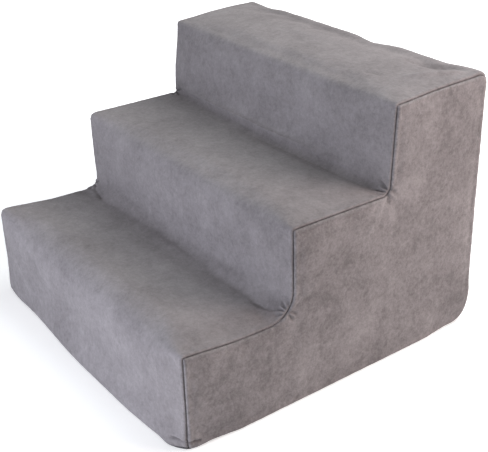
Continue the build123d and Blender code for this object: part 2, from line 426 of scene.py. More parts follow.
@dataclass
class Skin:
    """Divides the outside of the stairs into points, with a chosen spacing."""

    form: StairForm
    step: float
    fine: float
    net: float
    spots: tuple[Point, ...] = ()
    net_clear: float = 0.35
    ring_step: float = 0.0013
    ring_past_bend: float = 0.001
    ring_roundness: float = 1.25

    stretches = {
        "step": (
            Seam.FRONT_BOTTOM,
            Bend.LOWER_NOSING,
            Bend.LOWER_INNER,
            Bend.MIDDLE_NOSING,
            Bend.UPPER_INNER,
            Bend.UPPER_NOSING,
            Seam.REAR_TOP,
        ),
        "back": (Seam.REAR_TOP, Seam.REAR_BOTTOM),
        "back_upper": (Seam.REAR_TOP, Seam.ZIP_UPPER),
        "back_lower": (Seam.ZIP_LOWER, Seam.REAR_BOTTOM),
        "bottom": (Seam.REAR_BOTTOM, Seam.CLOSING),
    }
    around = ("step", "back_upper", "back_lower", "bottom")
    around_closed = ("step", "back", "bottom")

    def __post_init__(self) -> None:
        """Divides the width, and the outline between its marks."""
        half = graded_steps(self.form.half_girth, self.step, self.fine, True, False) * self.form.half_girth
        self.columns = [(Side.LEFT, d) for d in half] + [(Side.RIGHT, d) for d in half[-2::-1]]
        self.outlines = [self._outline(side, d) for side, d in self.columns]
        edge = self.outlines[0]
        self.shares = {
            name: [
                graded_steps(
                    edge.marks[end] - edge.marks[start],
                    self.step,
                    self.fine,
                    self._is_fine(start),
                    self._is_fine(end),
                )
                for start, end in zip(marks, marks[1:])
            ]
            for name, marks in self.stretches.items()
        }

    def _is_fine(self, mark: Enum) -> bool:
        """Whether rows lie close together at a mark."""
        return isinstance(mark, Seam) or mark in (Bend.LOWER_INNER, Bend.UPPER_INNER)

    def _place(self, side: Side, from_seam: float) -> tuple[float, float, float]:
        """Where a column of the strip lies.

        Args:
            side: Side that the column is on.
            from_seam: Distance over the strip from that side's seam.

        Returns:
            Its place across the width, how far it is drawn in from the outline, and its tilt.
        """
        radius, seam_angle = self.form.side_edge_radius, self.form.seam_angle
        tilt = seam_angle - from_seam / radius
        if tilt > 0:
            across = self.form.flat_half_width + radius * math.sin(tilt)
            return side.value * across, radius * (1 - math.cos(tilt)), tilt
        return side.value * (self.form.flat_half_width - (from_seam - radius * seam_angle)), 0.0, 0.0

    def _outline(self, side: Side, from_seam: float) -> Outline:
        """The side outline under a column of the strip."""
        return self.form.outline(from_seam, self._place(side, from_seam)[0])

    def _row_places(self, name: str, outline: Outline) -> np.ndarray:
        """Lengths along an outline at which the rows of a panel lie."""
        marks = [outline.marks[mark] for mark in self.stretches[name]]
        places = [np.array([marks[0]])]
        for start, end, shares in zip(marks, marks[1:], self.shares[name]):
            places.append(start + shares[1:] * (end - start))
        return np.concatenate(places)

    def strip(self, name: str) -> Patch:
        """One panel of the strip that runs round the stairs between the two sides.

        Args:
            name: One of the names in stretches.

        Returns:
            The panel at rest.
        """
        points, normals, seams = [], [], []
        for (side, from_seam), outline in zip(self.columns, self.outlines):
            x, drawn_in, tilt = self._place(side, from_seam)
            places = self._row_places(name, outline)
            flat_points, flat_normals = outline.at(places)
            inner = flat_points - flat_normals * drawn_in
            points.append(np.column_stack([np.full(len(places), x), inner]))
            sine = side.value * math.sin(tilt)
            normals.append(np.column_stack([np.full(len(places), sine), flat_normals * math.cos(tilt)]))
            to_seam = np.full(len(places), from_seam)
            if self.stretches[name][0] is not Seam.ZIP_LOWER:
                to_seam = np.minimum(to_seam, places - places[0])
            if self.stretches[name][-1] is not Seam.ZIP_UPPER:
                to_seam = np.minimum(to_seam, places[-1] - places)
            seams.append(to_seam)
        index = np.arange(len(points) * len(points[0])).reshape(-1, len(points))
        return Patch(
            np.stack(points, axis=1).reshape(-1, 3),
            np.stack(normals, axis=1).reshape(-1, 3),
            np.stack(seams, axis=1).reshape(-1),
            grid_faces(index),
        )

    def side(self, side: Side, around: Sequence[str]) -> Patch:
        """A side panel: rings round the bent edge, and an even net over the flat of the side.

        Args:
            side: Which side.
            around: Names of the strip's panels that it is sewn to.

        Returns:
            The panel at rest.
        """
        form = self.form
        radius = form.side_edge_radius
        flat_reach = radius * (math.pi / 2 - form.seam_angle)
        last = flat_reach + self.ring_past_bend
        distances = graded_steps(last, self.ring_step, self.fine, True, False) * last
        points, normals, seams = [], [], []
        for distance in distances:
            tilt = min(form.seam_angle + distance / radius, math.pi / 2)
            drawn_in = radius * (1 - math.cos(tilt)) + max(0.0, distance - flat_reach)
            across = side.value * (form.flat_half_width + radius * math.sin(tilt))
            line, outward = self._ring(form.outline(0.0, across, self.ring_roundness * drawn_in), around)
            ring = line - outward * drawn_in
            points.append(np.column_stack([np.full(len(ring), across), ring]))
            sine, cosine = side.value * math.sin(tilt), math.cos(tilt)
            normals.append(np.column_stack([np.full(len(ring), sine), outward * cosine]))
            seams.append(np.full(len(ring), distance))
        count = len(points[0])
        faces = ring_faces(len(distances), count, capped=False)
        if side is Side.RIGHT:
            faces = [face[::-1] for face in faces]
        net_points, net_faces = self._side_net(points[-1], side, shift=(len(distances) - 1) * count)
        points.append(net_points)
        normals.append(np.tile([float(side.value), 0.0, 0.0], (len(net_points), 1)))
        seams.append(np.full(len(net_points), 1.0))
        return Patch(np.vstack(points), np.vstack(normals), np.concatenate(seams), faces + net_faces)

    def _ring(self, outline: Outline, around: Sequence[str]) -> tuple[np.ndarray, np.ndarray]:
        """Points and outward directions of one ring, at the rows of the strip's panels."""
        places = []
        for name, following in zip(around, [*around[1:], None]):
            rows = self._row_places(name, outline)
            meets = following is None or self.stretches[name][-1] is self.stretches[following][0]
            places.append(rows[:-1] if meets else rows)
        return outline.at(np.concatenate(places))

    def _side_net(self, ring: np.ndarray, side: Side, shift: int) -> tuple[np.ndarray, Faces]:
        """Fills the flat of a side with an even net of triangles, finer round the spots that fold.

        Args:
            ring: Points of the innermost ring.
            side: Which side.
            shift: Number of points before the ring's first one.

        Returns:
            The points inside the ring, and the triangles on the ring's and the inside points.
        """
        outline = ring[:, 1:]
        tree = tree_of([(y, z, 0.0) for y, z in outline])
        inside = self._staggered(outline.min(axis=0), outline.max(axis=0), self.net)
        for y, z, reach in self.spots:
            spot = np.array([y, z])
            inside = inside[np.linalg.norm(inside - spot, axis=1) > reach]
            close = self._staggered(spot - reach, spot + reach, self.net / 2)
            inside = np.vstack([inside, close[np.linalg.norm(close - spot, axis=1) < reach]])
        inside = inside[self._within(outline, inside)]
        clear = [tree.find((y, z, 0.0))[2] > self.net * self.net_clear for y, z in inside]
        inside = inside[np.array(clear)]
        flat = [Vector(p) for p in outline] + [Vector(p) for p in inside]
        ring_edges = [(i, (i + 1) % len(outline)) for i in range(len(outline))]
        result = geometry.delaunay_2d_cdt(flat, ring_edges, [], 1, 1e-7)
        origin = [found[0] for found in result[3]]
        faces = []
        for face in result[2]:
            a, b, c = (origin[i] for i in face)
            (ya, za), (yb, zb), (yc, zc) = flat[a], flat[b], flat[c]
            turn = (yb - ya) * (zc - za) - (zb - za) * (yc - ya)
            ordered = (a, b, c) if (turn > 0) == (side is Side.RIGHT) else (a, c, b)
            faces.append(tuple(i + shift for i in ordered))
        across = np.full((len(inside), 1), ring[0, 0])
        return np.hstack([across, inside]), faces

    @staticmethod
    def _staggered(low: np.ndarray, high: np.ndarray, step: float) -> np.ndarray:
        """Places of an even triangular grid over a rectangle."""
        rows = np.arange(low[1], high[1], step * math.sqrt(3) / 2)
        columns = np.arange(low[0], high[0], step)
        across, up = np.meshgrid(columns, rows)
        across[1::2] += step / 2
        return np.column_stack([across.ravel(), up.ravel()])

    @staticmethod
    def _within(outline: np.ndarray, places: np.ndarray) -> np.ndarray:
        """Which places lie inside a closed outline."""
        inside = np.zeros(len(places), bool)
        ys, zs = places[:, 0], places[:, 1]
        for (y, z), (next_y, next_z) in zip(outline, np.roll(outline, -1, axis=0)):
            if z == next_z:
                continue
            crosses = (z > zs) != (next_z > zs)
            inside ^= crosses & (y + (zs - z) / (next_z - z) * (next_y - y) > ys)
        return inside


def in_scene(data: bpy.types.ID) -> bpy.types.Object:
    """Makes an object of some data, with its name, and adds it to the scene."""
    made = bpy.data.objects.new(data.name, data)
    bpy.context.scene.collection.objects.link(made)
    return made


def discard(piece: bpy.types.Object) -> None:
    """Removes a mesh object that was only used to make others."""
    mesh = piece.data
    bpy.data.objects.remove(piece)
    bpy.data.meshes.remove(mesh)


@dataclass(frozen=True)
class Ripple:
    """Smooth unevenness, the same at every run."""

    height: float
    wavelength: float
    seed: float

    def over(self, points: np.ndarray) -> np.ndarray:
        """How high it stands at each point, up or down."""
        scaled = points / self.wavelength + self.seed
        return self.height * np.array([noise.noise(Vector(p)) for p in scaled])


@dataclass(frozen=True)
class Stroke:
    """A fold, a crease or a stroke of painted shading in the cover, along a line over its surface.

    A positive height is a ridge and a negative one a crease. The tone is painted shading: positive paints
    light, as on ridges and lit faces, and negative paints shade, as in creases.
    """

    width: float
    height: float = 0.0
    tone: float = 0.0
    fade: float = 0.35
    path: tuple[Point, ...] = ()
    reach: float = 2.6

    def over(self, *path: Point) -> "Stroke":
        """The same stroke along a line over the surface."""
        return replace(self, path=path)

    def weight(self, points: np.ndarray) -> np.ndarray:
        """How strongly the stroke acts at each point, from 0 to 1."""
        line = np.array(self.path)
        reach = self.reach * self.width
        nearby = np.all((points > line.min(axis=0) - reach) & (points < line.max(axis=0) + reach), axis=1)
        near = points[nearby]
        result = np.zeros(len(points))
        if len(near) == 0:
            return result
        lengths = np.linalg.norm(np.diff(line, axis=0), axis=1)
        nearest = np.full(len(near), np.inf)
        along = np.full(len(near), 0.5)
        travelled = 0.0
        for start, end, length in zip(line, line[1:], lengths):
            share = np.clip((near - start) @ (end - start) / length**2, 0.0, 1.0)
            distance = np.linalg.norm(near - start - share[:, None] * (end - start), axis=1)
            closer = distance < nearest
            nearest = np.where(closer, distance, nearest)
            along = np.where(closer, (travelled + share * length) / lengths.sum(), along)
            travelled += length
        ends = smooth_step(along / self.fade) * smooth_step((1 - along) / self.fade)
        result[nearby] = bell(nearest / self.width) * ends
        return result

    def mirrored(self) -> "Stroke":
        """The same stroke on the other side of the stairs."""
        return replace(self, path=tuple((-x, y, z) for x, y, z in self.path))


@dataclass(frozen=True)
class Dent:
    """A round hollow, or a swelling where its height is positive."""

    centre: Point
    radius: float
    height: float
    # Painted shading: a negative tone paints shade, a positive one light.
    tone: float = 0.0

    def weight(self, points: np.ndarray) -> np.ndarray:
        """How strongly the dent acts at each point, from 0 to 1."""
        return bell(np.linalg.norm(points - np.array(self.centre), axis=1) / self.radius)

    def mirrored(self) -> "Dent":
        """The same dent on the other side of the stairs."""
        x, y, z = self.centre
        return replace(self, centre=(-x, y, z))


@dataclass(frozen=True)
class Ray:
    """One pucker that runs out from a knot.

    On the side, its angle is measured from the back upwards. On the strip it is measured from the line across
    the stairs, upwards over the riser, or down over the tread where it is negative.
    """

    face: str
    angle: float
    length: float
    width: float
    height: float
    # Painted shading along the pucker: shade in a crease, light on a ridge.
    tone: float


@dataclass(frozen=True)
class Knot:
    """Puckers that run out from an inner corner, where the strip is sewn round a bend of the side."""

    bend: Bend
    rays: tuple[Ray, ...]
    pit_radius: float
    pit_depth: float
    # Painted shade in the pit.
    pit_painted_shade: float = -0.14
    clear: float = 0.0012
    ray_fade: float = 0.3

    def marks(self, form: StairForm) -> list[Stroke | Dent]:
        """The pit of the knot and its puckers, on the right-hand side.

        Args:
            form: Outside of the stairs.

        Returns:
            The marks, the pit first.
        """
        x = form.half_width
        outline = form.outline(0.0, x)
        middle = outline.marks[self.bend]
        (y, z), = outline.at(np.array([middle]))[0]
        found: list[Stroke | Dent] = [Dent((x, y, z), self.pit_radius, self.pit_depth, self.pit_painted_shade)]
        for ray in self.rays:
            angle = math.radians(ray.angle)
            reaches = np.array([self.clear, ray.length / 2, ray.length])
            along, up = reaches * math.cos(angle), reaches * math.sin(angle)
            if ray.face == "side":
                places = np.column_stack([y + along, z + up])
                ends = [(x, *place) for place in places]
            else:
                places = outline.at(middle + up)[0]
                ends = [(x - reach, *place) for reach, place in zip(along, places)]
            found.append(Stroke(ray.width, ray.height, ray.tone, self.ray_fade).over(*ends))
        return found


@dataclass
class Stretching:
    """Cloth simulation that pushes the skin out between the seams that hold it."""

    spacing: float = 0.0075
    pressure: float = 1.1
    slack: float = -0.004
    frames: int = 20
    cap: float = 0.003
    zip_band: float = 0.011
    mass: float = 0.3
    stiffness: float = 25
    shear_stiffness: float = 10
    bending_stiffness: float = 1.5

    def run(self, skin: Skin) -> tuple[np.ndarray, np.ndarray]:
        """Blows the whole skin out a little and reads how far each point moved.

        Args:
            skin: The stairs' outside, divided coarsely.

        Returns:
            The points at rest and their moves.
        """
        patch = skin.strip("step").joined(skin.strip("back")).joined(skin.strip("bottom"))
        for side in Side:
            patch = patch.joined(skin.side(side, Skin.around_closed))
        patch = patch.welded()
        mesh = bpy.data.meshes.new("skin_at_rest")
        mesh.from_pydata(patch.points.tolist(), [], patch.faces)
        body = in_scene(mesh)
        near_zip = skin.form.from_zip(patch.points) < self.zip_band
        held = np.nonzero((patch.seam < 1e-6) | near_zip)[0]
        group = body.vertex_groups.new(name="held")
        group.add([int(i) for i in held], 1.0, "REPLACE")
        cloth = body.modifiers.new("cloth", "CLOTH")
        cloth.point_cache.frame_start = 1
        cloth.point_cache.frame_end = self.frames
        settings = cloth.settings
        settings.quality = 5
        settings.mass = self.mass
        settings.tension_stiffness = settings.compression_stiffness = self.stiffness
        settings.shear_stiffness = self.shear_stiffness
        settings.bending_stiffness = self.bending_stiffness
        settings.vertex_group_mass = group.name
        settings.use_pressure = True
        settings.uniform_pressure_force = self.pressure
        settings.shrink_min = self.slack
        settings.effector_weights.gravity = 0.0
        for number in range(1, self.frames + 1):
            bpy.context.scene.frame_set(number)
        evaluated = body.evaluated_get(bpy.context.evaluated_depsgraph_get())
        flat = np.zeros(len(patch.points) * 3, np.float32)
        evaluated.data.vertices.foreach_get("co", flat)
        moved = flat.reshape(-1, 3).astype(float) - patch.points
        bpy.context.scene.frame_set(1)
        discard(body)
        size = np.linalg.norm(moved, axis=1, keepdims=True)
        log.info("skin simulated: %d points, largest move %.1f mm", len(size), 1000 * size.max())
        return patch.points, moved * self.cap * np.tanh(size / self.cap) / np.maximum(size, 1e-9)


@dataclass
class SwellField:
    """Carries the moves of the simulated skin's points over to any point near them."""

    rest: np.ndarray
    moves: np.ndarray
    neighbours: int = 8
    past_last: float = 1.02

    def __post_init__(self) -> None:
        """Makes the tree that finds the nearest points."""
        self.tree = tree_of(self.rest)

    def at(self, points: np.ndarray) -> np.ndarray:
        """Moves at places near the skin, one for each of the points."""
        result = np.zeros_like(points)
        for i, point in enumerate(points):
            found = self.tree.find_n(point, self.neighbours)
            reach = found[-1][2] * self.past_last
            weights = np.array([(1 - (hit[2] / reach) ** 2) ** 2 for hit in found])
            moves = self.moves[[hit[1] for hit in found]]
            result[i] = weights @ moves / weights.sum()
        return result


@dataclass(frozen=True)
class Signal:
    """A value or colour that comes out of a node, on which Python's operators add Math nodes."""

    builder: "TreeBuilder"
    socket: bpy.types.NodeSocket

    def _maths(self, operation: str, first: Any, second: Any) -> "Signal":
        """Adds one Math node on two values and returns its result."""
        made = self.builder.node("ShaderNodeMath", {"operation": operation}, {0: first, 1: second})
        return Signal(self.builder, made.outputs[0])

    def __add__(self, other: "Signal | float") -> "Signal":
        """Sum."""
        return self._maths("ADD", self, other)

    def __sub__(self, other: "Signal | float") -> "Signal":
        """Difference."""
        return self._maths("SUBTRACT", self, other)

    def __rsub__(self, other: float) -> "Signal":
        """Difference, from the right."""
        return self._maths("SUBTRACT", other, self)

    def __mul__(self, other: "Signal | float") -> "Signal":
        """Product."""
        return self._maths("MULTIPLY", self, other)

    __radd__, __rmul__ = __add__, __mul__

    def larger(self, other: "Signal | float") -> "Signal":
        """The larger of two values."""
        return self._maths("MAXIMUM", self, other)


class TreeBuilder:
    """Adds nodes to a node tree."""

    def __init__(self, tree: bpy.types.NodeTree) -> None:
        """Takes the tree, emptied."""
        self.tree = tree
        tree.nodes.clear()

    def node(
        self,
        kind: str,
        settings: Mapping[str, Any] | None = None,
        inputs: Mapping[str | int, Any] | None = None,
    ) -> bpy.types.Node:
        """Adds a node.

        Args:
            kind: Type of the node.
            settings: Its properties, set first.
            inputs: A value, a signal or a socket for each input, by name or number.

        Returns:
            The node.
        """
        made = self.tree.nodes.new(kind)
        for name, value in (settings or {}).items():
            setattr(made, name, value)
        for key, value in (inputs or {}).items():
            socket = made.inputs[key]
            source = value.socket if isinstance(value, Signal) else value
            if isinstance(source, bpy.types.NodeSocket):
                self.tree.links.new(source, socket)
            else:
                socket.default_value = source
        return made


class Surface(TreeBuilder):
    """A material made of nodes around one Principled shader."""

    def __init__(self, name: str) -> None:
        """Makes the material and its output.

        Args:
            name: Name of the material.
        """
        self.material = bpy.data.materials.new(name)
        self.material.use_nodes = True
        super().__init__(self.material.node_tree)
        self.output = self.node("ShaderNodeOutputMaterial")
        self.place = self.node("ShaderNodeTexCoord").outputs["Object"]

    def stretched(self, scale: Point) -> bpy.types.NodeSocket:
        """Object coordinates, stretched."""
        return self.node("ShaderNodeMapping", None, {"Vector": self.place, "Scale": scale}).outputs[0]

    def noise(
        self,
        size: float,
        detail: float = 3.0,
        roughness: float = 0.55,
        distortion: float = 0.0,
        place: bpy.types.NodeSocket | None = None,
    ) -> Signal:
        """Noise from 0 to 1.

        Args:
            size: Size of its largest patches, in metres.
            detail: How many finer layers it has.
            roughness: How strong the finer layers are.
            distortion: How far the patches swirl.
            place: Coordinates, where they aren't the object's own.

        Returns:
            The noise.
        """
        inputs = {"Vector": place or self.place, "Scale": 1.0 / size, "Detail": detail}
        inputs |= {"Roughness": roughness, "Distortion": distortion}
        return Signal(self, self.node("ShaderNodeTexNoise", None, inputs).outputs[0])

    def bands(self, size: float, axis: str) -> Signal:
        """Straight even ribs from 0 to 1, a size apart along an axis."""
        settings = {"wave_type": "BANDS", "bands_direction": axis, "wave_profile": "SIN"}
        inputs = {"Vector": self.place, "Scale": math.pi / 10 / size}
        return Signal(self, self.node("ShaderNodeTexWave", settings, inputs).outputs["Fac"])

    def attribute(self, name: str) -> Signal:
        """A value that the piece's own points hold."""
        return Signal(self, self.node("ShaderNodeAttribute", {"attribute_name": name}).outputs["Fac"])

    def clamped(self, value: Signal, low: float = 0.0, high: float = 1.0) -> Signal:
        """A value eased into the range from 0 to 1, as it goes from low to high."""
        made = self.node("ShaderNodeMapRange", {"clamp": True}, {0: value, 1: low, 2: high})
        return Signal(self, made.outputs[0])

    def mixed(self, factor: Signal | float, first: Any, second: Any) -> Signal:
        """Two colours mixed.

        Args:
            factor: Share of the second colour.
            first: First colour, or a signal.
            second: Second colour, or a signal.

        Returns:
            The mixed colour.
        """
        first, second = ((*c, 1.0) if isinstance(c, tuple) and len(c) == 3 else c for c in (first, second))
        inputs = {0: factor, 6: first, 7: second}
        return Signal(self, self.node("ShaderNodeMix", {"data_type": "RGBA"}, inputs).outputs[2])

    def bump(self, height: Signal, depth: float, strength: float = 1.0) -> bpy.types.NodeSocket:
        """A normal that follows a height from 0 to 1, as deep as the depth in metres."""
        return self.node(
            "ShaderNodeBump", None, {"Height": height, "Distance": depth, "Strength": strength}
        ).outputs[0]

    def finish(self, **inputs: Any) -> bpy.types.Material:
        """Adds the Principled shader with these inputs, named in words joined by underscores."""
        named = {}
        for key, value in inputs.items():
            words = key.replace("ior", "IOR").split("_")
            named[" ".join(word if word == "IOR" else word.capitalize() for word in words)] = value
        shader = self.node("ShaderNodeBsdfPrincipled", None, named)
        self.tree.links.new(shader.outputs[0], self.output.inputs["Surface"])
        return self.material


@dataclass(frozen=True)
class SuedeFinish:
    """Brushed microfibre suede: brushed pile in soft light and dark patches, painted shading over folds and
    faces, and painted shade along the seam valleys.
    """

    name: str
    mottle: float
    dark: Colour = (0.170, 0.155, 0.158)
    light: Colour = (0.335, 0.310, 0.314)
    # Colour of the painted shade along the seam valleys.
    seam: Colour = (0.080, 0.070, 0.073)
    broad: float = 0.085
    brushed: float = 0.018
    speckled: float = 0.0052
    fibre: float = 0.0021
    pucker: float = 0.0040
    # Size of the noise that breaks up the painted seam shade.
    seam_shade_wave: float = 0.015
    broad_tone: float = 1.4
    brushed_tone: float = 1.2
    speckled_tone: float = 1.3
    # Gain, offset and pucker share of the noise that breaks up the painted seam shade.
    seam_shade_gain: float = 2.2
    seam_shade_loss: float = 0.55
    seam_shade_pucker: float = 1.8
    pucker_height: float = 1.1
    nap_depth: float = 0.0012

    def make(self) -> bpy.types.Material:
        """Builds the material."""
        surface = Surface(self.name)
        broad = surface.noise(self.broad, 2.0, 0.5, 0.3) - 0.5
        brushed = surface.noise(self.brushed, 3.0, 0.6, 0.4)
        speckled = surface.noise(self.speckled, 3.0, 0.65, 0.2)
        fibre = surface.noise(self.fibre, 2.0, 0.7)
        puckers = surface.noise(self.pucker, 2.0, 0.5) - 0.5
        drawn = surface.clamped(surface.attribute("drawn"))
        patches = self.broad_tone * broad + self.brushed_tone * (brushed - 0.5)
        patches = patches + self.speckled_tone * (speckled - 0.5) + (fibre - 0.5)
        # Near the seams the pucker noise lightens what it raises and darkens what it sinks: painted shading
        # that follows the pucker bump.
        # The panel's held attribute adds the marks' painted shading: shade in creases, pits and dim faces,
        # light on ridges and lit faces.
        tone = 0.5 + self.mottle * patches + puckers * drawn + surface.attribute("nap")
        colour = surface.mixed(surface.clamped(tone), self.dark, self.light)
        # Painted shade along the seam valleys, broken up by noise and by the puckers.
        thread = self.seam_shade_gain * surface.noise(self.seam_shade_wave, 2.0) - self.seam_shade_loss
        thread = surface.clamped(thread + self.seam_shade_pucker * puckers)
        sewn = surface.clamped(surface.attribute("sewn") * thread)
        height = 0.3 * brushed + 0.45 * speckled + 0.25 * fibre + self.pucker_height * puckers * drawn
        return surface.finish(
            base_color=surface.mixed(sewn, colour, self.seam),
            roughness=1.0 - 0.12 * speckled,
            specular_ior_level=0.18,
            sheen_weight=0.22,
            sheen_roughness=0.45,
            sheen_tint=(0.9, 0.88, 0.9, 1.0),
            normal=surface.bump(height, self.nap_depth, 0.8),
        )


@dataclass(frozen=True)
class FoamFinish:
    """Open-cell foam, cut with a saw: small pores and a faint band of cut marks."""

    body: Colour = (0.66, 0.58, 0.42)
    pore: Colour = (0.42, 0.35, 0.23)
    cell: float = 0.0016
    saw_mark: float = 0.006
    patch: float = 0.05
    pore_depth: float = 0.0006

    def make(self) -> bpy.types.Material:
        """Builds the material."""
        surface = Surface("open_cell_foam")
        inputs = {"Vector": surface.place, "Scale": 1.0 / self.cell}
        pores = Signal(surface, surface.node("ShaderNodeTexVoronoi", None, inputs).outputs["Distance"])
        patches = surface.noise(self.patch)
        marks = surface.bands(self.saw_mark, "Z")
        tone = surface.clamped(0.75 * pores + 0.35 * patches + 0.08 * marks, 0.15, 0.95)
        return surface.finish(
            base_color=surface.mixed(tone, self.body, self.pore),
            roughness=0.9 + 0.1 * patches,
            normal=surface.bump(1.0 - pores, self.pore_depth, 0.8),
        )


@dataclass(frozen=True)
class WovenFinish:
    """Woven cloth of crossed yarns: the canvas underneath, or the tapes of the zip."""

    name: str
    light: Colour
    dark: Colour
    yarn: float
    across: str = "X"
    along: str = "Y"
    depth: float = 0.00018
    slub_yarns: float = 6.0
    slub_stretch: Point = (1.0, 1.0, 0.35)
    patch: float = 0.04

    def make(self) -> bpy.types.Material:
        """Builds the material."""
        surface = Surface(self.name)
        warp = surface.bands(self.yarn, self.across)
        weft = surface.bands(self.yarn, self.along)
        stretched = surface.stretched(self.slub_stretch)
        slubs = surface.noise(self.yarn * self.slub_yarns, roughness=0.6, place=stretched)
        patches = surface.noise(self.patch)
        weave = warp.larger(weft) * 0.6 + warp * weft * 0.4
        tone = surface.clamped(0.7 * weave + 0.35 * slubs + 0.2 * patches, 0.2, 1.1)
        return surface.finish(
            base_color=surface.mixed(tone, self.dark, self.light),
            roughness=0.95 - 0.12 * weave,
            specular_ior_level=0.25,
            sheen_weight=0.1,
            normal=surface.bump(weave + 0.3 * slubs, self.depth, 0.9),
        )


@dataclass(frozen=True)
class MouldedFinish:
    """Moulded plastic or rubber with a fine matt grain."""

    name: str
    colour: Colour
    worn: Colour
    roughness: float
    grain: float = 0.0004
    haze: float = 0.009
    grain_depth: float = 0.00004

    def make(self) -> bpy.types.Material:
        """Builds the material."""
        surface = Surface(self.name)
        grain = surface.noise(self.grain, 2.0, 0.6)
        haze = surface.noise(self.haze)
        worn = surface.clamped(haze * 0.7 + grain * 0.3, 0.3, 0.8)
        return surface.finish(
            base_color=surface.mixed(worn, self.colour, self.worn),
            roughness=self.roughness + 0.16 * (grain - 0.5),
            normal=surface.bump(grain, self.grain_depth, 0.6),
        )


@dataclass(frozen=True)
class EnamelFinish:
    """Satin enamel on a die-cast zip slider, rubbed to bare metal in places."""

    paint: Colour = (0.120, 0.112, 0.115)
    metal: Colour = (0.42, 0.41, 0.40)
    worn_from: float = 0.66
    worn_reach: float = 0.14
    scuff: float = 0.0022
    fleck: float = 0.0005
    scuff_depth: float = 0.00003

    def make(self) -> bpy.types.Material:
        """Builds the material."""
        surface = Surface("satin_enamel")
        scuffs = surface.noise(self.scuff, 4.0, 0.65, 0.6)
        flecks = surface.noise(self.fleck, 2.0)
        worn = surface.clamped(scuffs + 0.2 * flecks, self.worn_from, self.worn_from + self.worn_reach)
        return surface.finish(
            base_color=surface.mixed(worn * 0.75, self.paint, self.metal),
            metallic=0.35 + 0.6 * worn,
            roughness=0.42 - 0.1 * worn + 0.08 * flecks,
            coat_weight=0.25 - 0.25 * worn,
            coat_roughness=0.25,
            normal=surface.bump(scuffs, self.scuff_depth, 0.5),
        )


@dataclass(frozen=True)
class ThreadFinish:
    """Twisted polyester sewing thread."""

    light: Colour = (0.30, 0.28, 0.285)
    dark: Colour = (0.12, 0.11, 0.113)
    twist: float = 0.00035
    fuzz: float = 0.0006
    ply_depth: float = 0.0001

    def make(self) -> bpy.types.Material:
        """Builds the material."""
        surface = Surface("sewing_thread")
        plies = surface.bands(self.twist, "DIAGONAL")
        fuzz = surface.noise(self.fuzz, 2.0)
        tone = surface.clamped(0.8 * plies + 0.3 * fuzz)
        return surface.finish(
            base_color=surface.mixed(tone, self.dark, self.light),
            roughness=0.72 - 0.15 * plies,
            normal=surface.bump(plies, self.ply_depth, 0.8),
        )


@dataclass
class Finishes:
    """The materials of the stairs, one for each slot of the record and one for the thread."""

    def __post_init__(self) -> None:
        """Builds every material."""
        self.suede = SuedeFinish("brushed_suede", 0.94).make()
        self.smooth_suede = SuedeFinish("smooth_suede", 0.62).make()
        self.foam = FoamFinish().make()
        self.canvas = WovenFinish("canvas", (0.125, 0.118, 0.120), (0.050, 0.047, 0.048), 0.0011).make()
        self.tape = WovenFinish(
            "zip_tape_weave", (0.185, 0.172, 0.176), (0.080, 0.073, 0.075), 0.0006, "X", "Z", 0.0001
        ).make()
        self.rubber = MouldedFinish("grip_rubber", (0.050, 0.048, 0.049), (0.085, 0.082, 0.083), 0.62).make()
        self.plastic = MouldedFinish("zip_plastic", (0.125, 0.116, 0.119), (0.165, 0.155, 0.158), 0.42).make()
        self.enamel = EnamelFinish().make()
        self.thread = ThreadFinish().make()


def piece_from(name: str, points: np.ndarray, faces: Sequence[Sequence[int]]) -> bpy.types.Object:
    """Makes a smooth-shaded mesh object at the origin.

    Args:
        name: Name of the object.
        points: Its points, in metres.
        faces: Point numbers of its faces.

    Returns:
        The object.
    """
    mesh = bpy.data.meshes.new(name)
    mesh.from_pydata(np.asarray(points).tolist(), [], faces)
    mesh.polygons.foreach_set("use_smooth", [True] * len(mesh.polygons))
    mesh.update()
    return in_scene(mesh)


def hold_values(piece: bpy.types.Object, name: str, values: np.ndarray) -> None:
    """Stores one value on each point of a piece, for its material."""
    attribute = piece.data.attributes.new(name, "FLOAT", "POINT")
    attribute.data.foreach_set("value", np.asarray(values, np.float32))


def settled(piece: bpy.types.Object) -> bpy.types.Object:
    """Turns a piece's modifiers into plain mesh."""
    evaluated = piece.evaluated_get(bpy.context.evaluated_depsgraph_get())
    mesh = bpy.data.meshes.new_from_object(evaluated)
    mesh.name = piece.name
    piece.modifiers.clear()
    piece.data = mesh
    return piece


def dress(
    piece: bpy.types.Object, material: bpy.types.Material, body: str, replaced: Sequence[str] = ()
) -> bpy.types.Object:
    """Gives a piece its material, and its place in the frame.

    Args:
        piece: The piece.
        material: Its only material.
        body: Body that it rides on.
        replaced: Nodes of the frame that it stands for.

    Returns:
        The piece.
    """
    piece.data.materials.clear()
    piece.data.materials.append(material)
    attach(piece, body)
    if replaced:
        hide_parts(*replaced)
    log.info("%s: %d faces, on %s", piece.name, len(piece.data.polygons), body)
    return piece


